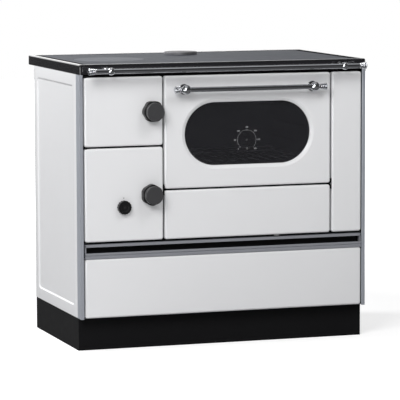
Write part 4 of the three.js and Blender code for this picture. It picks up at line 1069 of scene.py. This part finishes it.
@dataclass
class Dial:
    """The scale printed on the glass round the thermometer's pointer, and the cap over the pointer.

    zero is the angle of the reading 0, and each dash runs between two readings after a small step. The
    unit's mark is placed and sized by shares of the radius and of the labels' height.
    """

    x: float = 521.0
    z: float = 614.25
    glass_y: float = 7.3
    radius: float = 29.5
    label_radius: float = 38.0
    label_height: float = 6.0
    unit_drop: float = 0.88
    unit_height: float = 1.1
    print_depth: float = 0.06
    zero: float = 225.0
    span: float = 270.0
    top: int = 300
    step: int = 50
    small_step: int = 10
    end_stroke: float = 4.0
    long_stroke: float = 2.4
    short_stroke: float = 1.2
    stroke_width: float = 0.5
    dash: Span = (2.5, 7.5)
    dash_width: float = 0.4
    cap: Profile = ((0.0, 6.1), (1.6, 6.1), (2.4, 6.3), (3.0, 6.9), (3.0, 7.0), (0.0, 7.0))

    def degrees(self, reading: float) -> float:
        """A reading's angle, with 0 at the lower left and the scale running clockwise."""
        return self.zero - self.span * reading / self.top

    def spot(self, reading: float, radius: float) -> tuple[float, float]:
        """Where a reading lies at a radius."""
        angle = math.radians(self.degrees(reading))
        return self.x + radius * math.cos(angle), self.z + radius * math.sin(angle)

    def ink(self, skin: Skin, outline: Profile) -> None:
        """Adds a flat mark of the print's thickness."""
        skin.extruded(outline, Axis.Y, self.glass_y, self.glass_y - self.print_depth)

    def stroke(self, skin: Skin, reading: float, near: float, far: float) -> None:
        """Adds a radial stroke of the print.

        Args:
            skin: the print.
            reading: where it lies.
            near, far: the radii between which it runs.
        """
        start, end = np.array(self.spot(reading, near)), np.array(self.spot(reading, far))
        along_x, along_z = end - start
        across = np.array([-along_z, along_x]) * self.stroke_width / 2 / math.hypot(along_z, along_x)
        self.ink(skin, np.array([start - across, end - across, end + across, start + across]))

    def circle_part(self, skin: Skin, reading: float) -> None:
        """Adds the dash of the scale's circle that follows a reading.

        Args:
            skin: the print.
            reading: the reading.
        """
        start, end = (self.degrees(reading + part) for part in self.dash)
        outer = arc(self.x, self.z, self.radius + self.dash_width / 2, start, end, 4)
        inner = arc(self.x, self.z, self.radius - self.dash_width / 2, end, start, 4)
        self.ink(skin, np.concatenate([outer, inner]))

    def words(self, skin: Skin, text: str, x: float, z: float, height: float) -> None:
        """Adds a word of the print about a centre.

        Args:
            skin: the print.
            text: the word.
            x, z: its middle.
            height: the size of its letters.
        """
        curve = bpy.data.curves.new("lettering", "FONT")
        curve.body, curve.size, curve.extrude = text, height, self.print_depth / 2
        curve.align_x = curve.align_y = "CENTER"
        curve.resolution_u = 3
        holder = placed("lettering", curve)
        mesh = bpy.data.meshes.new_from_object(holder.evaluated_get(bpy.context.evaluated_depsgraph_get()))
        flat = np.empty(len(mesh.vertices) * 3)
        mesh.vertices.foreach_get("co", flat)
        flat = flat.reshape(-1, 3)
        depth = self.glass_y - self.print_depth / 2
        points = np.stack([x + flat[:, 0], depth - flat[:, 2], z + flat[:, 1]], -1)
        skin.patch(points, [tuple(face.vertices) for face in mesh.polygons])
        bpy.data.objects.remove(holder)
        bpy.data.curves.remove(curve)
        bpy.data.meshes.remove(mesh)

    def build(self) -> None:
        """Makes the whole print."""
        skin = Skin()
        for reading in range(0, self.top + 1, self.small_step):
            reach = self.long_stroke if reading % self.step == 0 else self.short_stroke
            reach = self.end_stroke if reading in (0, self.top) else reach
            self.stroke(skin, reading, self.radius - reach / 2, self.radius + reach)
            if reading < self.top:
                self.circle_part(skin, reading)
        for reading in range(0, self.top + 1, self.step):
            self.words(skin, str(reading), *self.spot(reading, self.label_radius), self.label_height)
        unit_z = self.z - self.radius * self.unit_drop
        self.words(skin, "°C", self.x, unit_z, self.label_height * self.unit_height)
        skin.piece("dial_print", "oven_door", "pointer_white", DIAL_WHITE)
        cap = Skin().spun(self.cap, Axis.Y, self.x, self.z, 40)
        cap.piece("pointer_cap", "thermometer", "pointer_white", DIAL_WHITE)


@dataclass
class OvenDoor:
    """The oven door: a pan with a pressed rim round a window that holds the frame's own glass, its dial and
    its handle.

    Each rim point is how far it lies outside the window, at a depth behind the door's face. The back of
    the rim follows the points from number rim_back on, lower by back_drop times the sheet.
    """

    pan: Pan
    window_x: float = 523.0
    window_z: float = 635.75
    window_width: float = 396.0
    window_height: float = 187.5
    rim: Profile = ((12.5, 0.0), (11.0, 0.0), (10.4, 0.15), (9.8, 0.45), (3.0, 3.4), (1.2, 4.6), (0.3, 6.4),
                    (0.0, 7.8))
    rim_back: int = 3
    back_drop: float = 0.4
    lip_depth: float = 9.0

    def opening(self, spread: float, depth: float) -> Array:
        """The window's outline, with half-circle ends.

        Args:
            spread: how much it is spread outwards.
            depth: how far it is behind the face.

        Returns:
            The outline's points.
        """
        half_width = self.window_width / 2 + spread
        half_height = self.window_height / 2 + spread
        box = (self.window_x - half_width, self.window_x + half_width,
               self.window_z - half_height, self.window_z + half_height)
        return along(rounded(*box, half_height, self.pan.steps), Axis.Y, self.pan.y + depth)

    def front(self) -> Skin:
        """The enamelled front, one closed surface round its edge and through the window.

        Returns:
            The closed front.
        """
        sheet = self.pan.sheet
        rim = [*self.rim, (0.0, self.lip_depth), (sheet, self.lip_depth)]
        rim += [(spread + sheet, depth + sheet * self.back_drop)
                for spread, depth in reversed(self.rim[self.rim_back:])]
        rim += [(self.rim[0][0], sheet)]
        rings = [*reversed(self.pan.outside()), *[self.opening(*step) for step in rim],
                 *reversed(self.pan.inside())]
        return Skin().grid(np.stack(rings), round_rows=True)

    def build(self) -> None:
        """Makes the door's front, its dial and its handle."""
        self.front().piece("oven_door_front", "oven_door", "white_enamel", WHITE_ENAMEL, ["oven_door_shell"])
        Dial().build()
        Bar("handle", "oven_door", left=282.0, right=764.0, axis_y=-29.0, axis_z=771.0, wall_y=-2.0,
            ball_inset=38.0, ball=14.5, neck=6.5, rose=16.0).build()


# ---- The body ----


@dataclass
class SidePanel:
    """An enamelled side with a pressed recess.

    A slope point is how far it lies inside the recess's margin, at a place inwards across the stove, and an
    edge point is how far it is drawn in, at such a place.
    """

    front: float = 39.3
    back: float = 510.0
    bottom: float = 97.3
    top: float = 819.7
    margin: float = 33.0
    corner: float = 16.0
    edge_corner: float = 0.5
    sheet: float = 2.0
    slope: Profile = ((6.5, 3.0), (5.2, 3.0), (4.4, 2.86), (3.4, 2.4), (0.8, 0.62), (0.0, 0.16), (-0.9, 0.0),
                      (-2.2, 0.0))
    edge: Profile = ((1.2, 0.0), (0.3, 0.12), (0.0, 0.5), (0.0, 2.0))

    def ring(self, inset: float, radius: float, x: float) -> Array:
        """The panel's outline drawn in by an inset, at a place across the stove."""
        box = (self.front + inset, self.back - inset, self.bottom + inset, self.top - inset)
        return along(rounded(*box, radius, 16), Axis.X, x)

    def skin(self) -> Skin:
        """The whole closed panel: from the recess's floor out over its slope, round the edge and back.

        Returns:
            The closed panel.
        """
        outside = [self.ring(self.margin + pull, self.corner - pull, x) for pull, x in self.slope]
        inside = [self.ring(self.margin + pull - self.sheet, self.corner - pull + self.sheet, x + self.sheet)
                  for pull, x in reversed(self.slope)]
        edge = [self.ring(pull, self.edge_corner, x) for pull, x in self.edge]
        return Skin().loft([*outside, *edge, *inside])

    def build(self) -> None:
        """Makes both sides."""
        look = ("stove", "white_enamel", WHITE_ENAMEL)
        self.skin().piece("enamelled_side_left", *look, ["side_panel_left"])
        self.skin().mirrored().piece("enamelled_side_right", *look, ["side_panel_right"])


@dataclass
class Trim:
    """The aluminium of the body: corner posts, the trim over the finger slot and the drawer's grip.

    The grip's points are (y, rise from its bottom).
    """

    bottom: float = 97.3
    top: float = 819.7
    face: float = 11.0
    depth: float = 39.0
    chamfer: float = 2.5
    lip: float = 4.0
    flange: float = 3.0
    sheet: float = 2.0
    left: float = 14.0
    right: float = 886.0
    slot_top: float = 311.0
    slot_bottom: float = 293.8
    slot_depth: float = 17.7
    cover_height: float = 8.0
    cheek: float = 3.0
    grip_bottom: float = 276.5
    grip_points: Profile = ((-2, 0), (16, 0), (16, 2.3), (2.5, 2.3), (2.5, 17), (0, 17), (-1.2, 16.6),
                            (-2, 15.6), (-2, 11), (0, 10), (0, 7.8), (-2, 6.8))

    def post(self) -> Skin:
        """The left corner post: an angle section carried upwards."""
        section = [(0, 0), (self.face - self.chamfer, 0), (self.face, self.chamfer), (self.face, self.lip),
                   (self.face - self.flange, self.flange), (self.sheet, self.flange),
                   (self.sheet, self.depth), (0, self.depth)]
        return Skin().extruded(section, Axis.Z, self.bottom, self.top)

    def slot(self) -> Skin:
        """The trim over the finger slot with a cheek at each of its ends.

        Returns:
            The closed trim.
        """
        top = self.slot_top + self.cover_height
        under = top - self.sheet
        section = [(0, self.slot_top), (self.sheet, self.slot_top), (self.sheet, under),
                   (self.slot_depth, under), (self.slot_depth, top), (0, top)]
        skin = Skin().extruded(section, Axis.X, self.left, self.right)
        for x in (self.left, self.right - self.cheek):
            skin.block((x, 0.0, self.slot_bottom), (x + self.cheek, self.slot_depth, under))
        return skin

    def grip(self) -> Skin:
        """The drawer's grip: a lipped section with a groove along its face."""
        section = [(y, self.grip_bottom + rise) for y, rise in self.grip_points]
        return Skin().extruded(section, Axis.X, self.left, self.right)

    def build(self) -> None:
        """Makes the posts, the trim and the grip."""
        post = ("stove", "satin_aluminium", ALUMINIUM_UP)
        self.post().piece("post_left", *post, ["corner_post_left"], bevel=0.5, crease=25)
        self.post().mirrored().piece("post_right", *post, ["corner_post_right"], bevel=0.5, crease=25)
        across = ("satin_aluminium", ALUMINIUM_ACROSS)
        self.slot().piece("slot_cover", "stove", *across, ["slot_trim"], bevel=0.4)
        self.grip().piece("drawer_pull", "drawer", *across, ["drawer_grip"], bevel=0.3, crease=25)


@dataclass
class TopFrame:
    """The polished black frame round the cooktop, in four bars with ledges under the plate."""

    bottom: float = 820.0
    top: float = STOVE_HEIGHT
    depth: float = 577.0
    width: float = 11.0
    rear_width: float = 37.0
    joint: float = 446.0
    edge: float = 4.0
    support: float = 1.0
    under_chamfer: float = 0.6
    corner: float = 5.0
    corner_shrink: float = 0.6
    least_corner: float = 0.6
    ledge: float = 20.0
    ledge_bottom: float = 839.7
    ledge_top: float = 842.7

    def rows(self) -> list[tuple[float, float, float]]:
        """(z, draw-in of the outer edges, reach of the ledge) from the bottom to the rounded top edge.

        Returns:
            The rows.
        """
        edge = [(self.top - self.edge + advance, draw, 0.0) for draw, advance in rolled(self.edge)]
        return [(self.bottom, self.under_chamfer, 0.0), (self.bottom + self.under_chamfer, 0.0, 0.0),
                (self.ledge_bottom, 0.0, 0.0), (self.ledge_bottom, 0.0, self.ledge),
                (self.ledge_top, 0.0, self.ledge), (self.ledge_top, 0.0, 0.0), *edge,
                (self.top, self.edge + self.support, 0.0)]

    def outer_corner(self, inset: float) -> float:
        """The radius of the frame's outer corners where they are drawn in by an inset."""
        return max(self.corner - inset * self.corner_shrink, self.least_corner)

    def front_outline(self, inset: float, reach: float) -> Array:
        """The front bar seen from above, with round front corners.

        Args:
            inset: the draw-in of its outer edges.
            reach: the reach of its ledge.

        Returns:
            The outline's points.
        """
        radius = self.outer_corner(inset)
        clear, right = self.width + self.ledge + SEAT_GAP, STOVE_WIDTH - inset
        ledge = [(STOVE_WIDTH - clear, self.width), (STOVE_WIDTH - clear, self.width + reach),
                 (clear, self.width + reach), (clear, self.width)]
        return np.concatenate([
            arc(inset + radius, inset + radius, radius, 180, 270),
            arc(right - radius, inset + radius, radius, 270, 360),
            [(right, self.width), *ledge, (inset, self.width)],
        ])

    def side_outline(self, inset: float, reach: float) -> Array:
        """The left bar seen from above.

        Args:
            inset: the draw-in of its outer edge.
            reach: the reach of its ledge.

        Returns:
            The outline's points.
        """
        start, end = self.width + SEAT_GAP, self.joint - SEAT_GAP
        inner = self.width + reach
        return np.array([(inset, start), (inner, start), (inner, end), (inset, end)])

    def rear_outline(self, inset: float, reach: float) -> Array:
        """The rear bar with its two arms seen from above, with round rear corners.

        Args:
            inset: the draw-in of its outer edges.
            reach: the reach of its ledge.

        Returns:
            The outline's points.
        """
        radius = self.outer_corner(inset)
        right, back = STOVE_WIDTH - inset, self.depth - inset
        inner, inner_back = self.width + reach, self.depth - self.rear_width - reach
        return np.concatenate([
            [(STOVE_WIDTH - inner, self.joint), (right, self.joint)],
            arc(right - radius, back - radius, radius, 0, 90),
            arc(inset + radius, back - radius, radius, 90, 180),
            [(inset, self.joint), (inner, self.joint), (inner, inner_back),
             (STOVE_WIDTH - inner, inner_back)],
        ])

    def bar(self, outline: Callable[[float, float], Array]) -> Skin:
        """A bar lofted upwards from an outline function of (draw-in, reach)."""
        return Skin().loft([along(outline(inset, reach), Axis.Z, z) for z, inset, reach in self.rows()])

    def build(self) -> None:
        """Makes the four bars."""
        look = ("stove", "black_enamel", BLACK_ENAMEL)
        self.bar(self.front_outline).piece("frame_bar_front", *look, ["top_frame_front"])
        self.bar(self.side_outline).piece("frame_bar_left", *look, ["top_frame_left"])
        self.bar(self.side_outline).mirrored().piece("frame_bar_right", *look, ["top_frame_right"])
        self.bar(self.rear_outline).piece("frame_bar_rear", *look, ["top_frame_rear"])


@dataclass
class Cooktop:
    """The steel plate with its hotplate ring and lid, and the flue collar under its cap."""

    left: float = 20.0
    right: float = 880.0
    front: float = 20.0
    back: float = 537.0
    bottom: float = 843.0
    top: float = 849.0
    split: float = 370.0
    hot_x: float = 170.0
    hot_y: float = 268.0
    ring: float = 107.0
    lid: float = 72.0
    chamfer: float = 0.6
    well_chamfer: float = 0.5
    step: float = 7.0
    step_depth: float = 3.0
    gap: float = 0.6
    flue_x: float = 460.0
    flue_y: float = 455.0
    bore: float = 46.0
    flue_wall: float = 3.7
    collar_depth: float = 24.0
    flange: float = 52.0
    flange_height: float = 2.5
    flange_chamfer: float = 0.8
    cap: float = 51.0
    cap_edge: float = 1.8
    cap_height: float = 5.0
    plug_gap: float = 0.6
    side_count: int = 48

    def field(self, skin: Skin, x0: float, x1: float, centre: Sequence[float], hole: Profile) -> None:
        """Adds a rectangle of the plate round a stepped round hole.

        Points on the rectangle's sides are joined to the points of the hole at the same angle about its
        centre, at each (radius, z) of the hole's wall from the top to the bottom.

        Args:
            skin: the plate.
            x0, x1: the rectangle's sides; the one at the split has no wall.
            centre: the hole's centre.
            hole: (radius, z) points of its wall.
        """
        count = self.side_count
        run = np.linspace(0, 1, count, endpoint=False)[:, None]
        corners = np.array([(x0, self.front), (x1, self.front), (x1, self.back), (x0, self.back)])
        sides = [start + (end - start) * run for start, end in zip(corners, np.roll(corners, -1, 0))]
        outline = np.concatenate(sides)
        away = outline - centre
        ray = away / np.linalg.norm(away, axis=1, keepdims=True)
        rings = [along(outline, Axis.Z, self.top)]
        rings += [along(centre + ray * radius, Axis.Z, z) for radius, z in hole]
        rings += [along(outline, Axis.Z, self.bottom)]
        skin.grid(np.stack(rings))
        walled = (True, x1 == self.right, True, x0 == self.left)
        for side in np.flatnonzero(walled):
            columns = np.arange(side * count, (side + 1) * count + 1) % (4 * count)
            skin.grid(np.stack([rings[0][columns], rings[-1][columns]]), round_columns=False)

    def plate(self) -> Skin:
        """The plate in two fields that meet at the split.

        Returns:
            The closed plate.
        """
        seat, well = self.top - self.step_depth, self.ring + self.gap
        ledge = well - self.step
        sleeve = self.bore + self.flue_wall + SEAT_GAP
        hot_hole = [(well + self.well_chamfer, self.top), (well, self.top - self.well_chamfer), (well, seat),
                    (ledge, seat), (ledge, self.bottom)]
        skin = Skin()
        self.field(skin, self.left, self.split, (self.hot_x, self.hot_y), hot_hole)
        self.field(skin, self.split, self.right, (self.flue_x, self.flue_y),
                   [(sleeve, self.top), (sleeve, self.bottom)])
        return skin

    def disc(self, radius: float) -> list[tuple[float, float]]:
        """The outer (radius, z) points of a plate on a stepped seat, with a chamfered rim."""
        under, rim = self.top - self.step_depth + SEAT_GAP, self.top - self.chamfer
        return [(radius - self.step, self.bottom), (radius - self.step, under), (radius, under),
                (radius, rim), (radius - self.chamfer, self.top)]

    def hotplate(self) -> None:
        """Makes the ring and the lid, each with a chamfered rim on a stepped seat."""
        seat, well = self.top - self.step_depth, self.lid + self.gap
        ledge = well - self.step
        ring = [(ledge, self.bottom), *self.disc(self.ring), (well + self.chamfer, self.top),
                (well, self.top - self.chamfer), (well, seat), (ledge, seat)]
        skin = Skin().spun(ring, Axis.Z, self.hot_x, self.hot_y, 128, hollow=True)
        skin.piece("hotplate_rim", "hotplate_ring", "cooktop_steel", HOTPLATE_STEEL, ["hotplate_ring"])
        lid = [(0, self.bottom), *self.disc(self.lid), (0, self.top)]
        skin = Skin().spun(lid, Axis.Z, self.hot_x, self.hot_y, 128)
        skin.piece("hotplate_cover", "hotplate_lid", "cooktop_steel", HOTPLATE_STEEL, ["hotplate_lid"])

    def flue(self) -> None:
        """Makes the collar and its cap."""
        seat, outer = self.top + SEAT_GAP, self.bore + self.flue_wall
        head, foot = seat + self.flange_height, seat - self.collar_depth
        collar = [(self.bore, foot), (outer, foot), (outer, seat), (self.flange, seat),
                  (self.flange, head - self.flange_chamfer), (self.flange - self.flange_chamfer, head),
                  (self.bore, head)]
        skin = Skin().spun(collar, Axis.Z, self.flue_x, self.flue_y, 96, hollow=True)
        skin.piece("flue_ring", "stove", "cast_iron", CAP_IRON, ["flue_collar"])
        low, plug = head + SEAT_GAP, self.bore - self.plug_gap
        edge = arc(self.cap - self.cap_edge, low + self.cap_height - self.cap_edge, self.cap_edge, 0, 90, 6)
        cap = [(0, low - self.cap_height), (plug, low - self.cap_height), (plug, low), (self.cap, low),
               *edge.tolist(), (0, low + self.cap_height)]
        skin = Skin().spun(cap, Axis.Z, self.flue_x, self.flue_y, 96)
        skin.piece("flue_cover", "flue_cap", "cast_iron", CAP_IRON, ["flue_cap"])

    def build(self) -> None:
        """Makes the plate and all in it."""
        self.plate().piece("cooktop", "stove", "cooktop_steel", PLATE_STEEL, ["cooktop_plate"], bevel=0.6)
        self.hotplate()
        self.flue()


@dataclass
class OvenInside:
    """The wire rack in the oven, with a raised stop wire at its back."""

    left: float = 295.0
    right: float = 751.0
    front: float = 39.8
    back: float = 418.8
    z: float = 541.3
    wire: float = 2.5
    cross: float = 1.5
    stop: float = 12.0
    count: int = 11

    def rod(self, skin: Skin, radius: float, axis: Axis, centre: Span, start: float, end: float) -> None:
        """Adds a straight wire with rounded ends.

        Args:
            skin: the rack.
            radius: the wire's radius.
            axis: the axis that it runs along.
            centre: where it runs, in the two other directions.
            start, end: the places of its ends.
        """
        round_end = rolled(radius, steps=3)
        head = [(advance, start + draw) for draw, advance in round_end]
        tail = [(advance, end - draw) for draw, advance in reversed(round_end)]
        skin.spun(head + tail, axis, *centre, 12)

    def build(self) -> None:
        """Makes the rack."""
        skin = Skin()
        across = (self.left - self.wire, self.right + self.wire)
        for y in (self.front, self.back):
            self.rod(skin, self.wire, Axis.X, (y, self.z), *across)
        for x in (self.left, self.right):
            self.rod(skin, self.wire, Axis.Y, (x, self.z), self.front, self.back)
            self.rod(skin, self.cross, Axis.Z, (x, self.back), self.z, self.z + self.stop)
        self.rod(skin, self.cross, Axis.X, (self.back, self.z + self.stop), *across)
        for x in np.linspace(self.left, self.right, self.count + 2)[1:-1]:
            self.rod(skin, self.cross, Axis.Y, (x, self.z), self.front, self.back)
        skin.piece("oven_shelf", "stove", "chrome", RACK_WIRE, ["oven_rack"])


@dataclass
class Fronts:
    """The plain enamelled fronts: the cleaning flap, the right-hand panel and the drawer."""

    flap: Pan
    right: Pan
    drawer: Pan

    def build(self) -> None:
        """Makes the three pans."""
        pans = (("lower_panel_front", "cleaning_flap", "lower_panel", self.flap),
                ("right_panel_front", "stove", "right_panel", self.right),
                ("drawer_panel", "drawer", "drawer_front", self.drawer))
        for name, body, node, pan in pans:
            pan.skin().piece(name, body, "white_enamel", WHITE_ENAMEL, [node])


# ---- The studio ----


@dataclass
class Lamp:
    """A soft square lamp aimed at a point."""

    name: str
    place: tuple[float, float, float]
    aim: tuple[float, float, float]
    size: float
    watts: float
    colour: Colour = (1.0, 1.0, 1.0)
    mirrored: bool = True

    def build(self) -> None:
        """Hangs the lamp."""
        light = bpy.data.lights.new(self.name, "AREA")
        light.shape = "SQUARE"
        light.size, light.energy, light.color = self.size, self.watts, self.colour
        lamp = placed(self.name, light)
        lamp.location, lamp.visible_glossy = self.place, self.mirrored
        away = np.array(self.place) - np.array(self.aim)
        level = math.hypot(away[0], away[1])
        lamp.rotation_euler = (math.atan2(level, away[2]), 0.0, math.atan2(away[0], -away[1]))


@dataclass
class Studio:
    """A pale floor, plain soft light and the camera.

    Mirrors see a white backdrop behind the stove and a white top over it, on a dark ground of strength
    gloom. Their spans are parts of a ray's direction: the backdrop's foot and head by its height, its fall
    by how far it goes to the right, its start by how far it goes back, and the top by its height.
    """

    camera_place: Span = (-2.592, -7.7471, 1.3073)
    camera_degrees: Span = (83.7275, 0.1796, -18.5717)
    lens: float = 240.08
    sensor: float = 36.0
    view_end: float = 60.0
    floor_half: float = 12.0
    ambient: float = 0.28
    backdrop: float = 1.5
    backdrop_foot: Span = (0.02, 0.07)
    backdrop_head: Span = (0.6, 0.2)
    backdrop_fall: Span = (0.27, 0.39, 1.1, 0.55)
    backdrop_ahead: Span = (0.0, 0.5)
    gloom: float = 0.06
    zenith: float = 0.8
    overhead: Span = (0.82, 0.95)

    def floor(self) -> None:
        """Lays the floor, a wide shallow grid of a pale plain colour with faint clouds."""
        line = np.linspace(-self.floor_half, self.floor_half, 9)
        x, y = np.meshgrid(line, line)
        skin = Skin().grid(np.stack([x, y, np.zeros_like(x)], -1), round_columns=False)
        mesh = bpy.data.meshes.new("floor")
        mesh.from_pydata(skin.points[0].tolist(), [], skin.faces)
        paint = FloorPaint("floor paint", (0.62, 0.62, 0.625), 0.9, mottle=0.005, mottle_scale=2.0)
        mesh.materials.append(paint.material())
        placed("floor", mesh)

    def world(self) -> None:
        """Paints the surroundings: white to the camera, to mirrors and through glass behind the stove."""
        world = bpy.data.worlds.new("studio")
        bpy.context.scene.world = world
        world.use_nodes = True
        nodes = Nodes(world.node_tree)
        camera, glossy, glass = nodes.outputs(
            "ShaderNodeLightPath", ("Is Camera Ray", "Is Glossy Ray", "Is Transmission Ray"))
        direction = nodes.add("ShaderNodeTexCoord", output="Generated")
        across, ahead, height = nodes.outputs("ShaderNodeSeparateXYZ", "XYZ", direction)
        rise = nodes.eased(height, *self.backdrop_foot) * nodes.eased(height, *self.backdrop_head)
        fall = nodes.eased(across, *self.backdrop_fall)
        behind = nodes.eased(ahead, *self.backdrop_ahead) * rise * fall * self.backdrop + self.gloom
        mirrored = glossy * (behind + nodes.eased(height, *self.overhead) * self.zenith)
        seen = camera + glass
        strength = seen + mirrored + (1 - (seen + glossy)) * self.ambient
        shader = nodes.add("ShaderNodeBackground", {}, {"Color": (1.0, 1.0, 1.0), "Strength": strength})
        nodes.add("ShaderNodeOutputWorld", {}, {"Surface": shader})

    def camera(self) -> None:
        """Sets the camera at the photograph's view."""
        view = bpy.data.cameras.new("camera")
        view.lens, view.sensor_width, view.clip_end = self.lens, self.sensor, self.view_end
        camera = placed("camera", view)
        camera.location = self.camera_place
        camera.rotation_euler = tuple(math.radians(angle) for angle in self.camera_degrees)
        bpy.context.scene.camera = camera

    def build(self) -> None:
        """Makes the whole studio."""
        bpy.context.scene.view_settings.view_transform = "Standard"
        self.camera()
        self.floor()
        self.world()
        Lamp("key", place=(-2.3, -3.0, 2.7), aim=(0.0, 0.0, 0.5), size=1.8, watts=101.0,
             colour=(1.0, 0.995, 0.99)).build()
        Lamp("front right", place=(0.5, -1.6, 2.3), aim=(0.0, 0.0, 0.7), size=0.9, watts=13.0,
             mirrored=False).build()
        Lamp("left rear", place=(-1.7, 0.9, 2.2), aim=(-0.3, 0.1, 0.7), size=0.9, watts=42.0).build()


def dress_carried() -> None:
    """Gives the frame's own nodes that stay in view their finishes."""
    for finish, names in CARRIED.items():
        for name in names:
            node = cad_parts[name]
            node.data.materials.clear()
            node.data.materials.append(finish.material())
            log.info("%s keeps its solid in %s", name, finish.name)


def main() -> None:
    """Builds the stove's looks piece by piece, and then its studio."""
    logging.basicConfig(level=logging.INFO, format="%(name)s: %(message)s")
    dress_carried()
    SidePanel().build()
    Trim().build()
    SideDoors().build()
    OvenDoor(Pan(x=260.5, z=476.5, width=525.0, height=335.0, steps=24)).build()
    Fronts(flap=Pan(x=260.5, z=326.0, width=525.0, height=145.0),
           right=Pan(x=791.0, z=326.0, width=95.0, height=485.5, depth=19.7),
           drawer=Pan(x=14.0, z=100.5, width=872.0, height=175.7)).build()
    TopFrame().build()
    Bar("rail", "stove", left=14.5, right=885.5, axis_y=-43.0, axis_z=831.5, wall_y=0.0, ball_inset=70.0,
        ball=11.5, neck=5.0, rose=10.5).build()
    Cooktop().build()
    OvenInside().build()
    Studio().build()


if __name__ == "__main__":
    main()
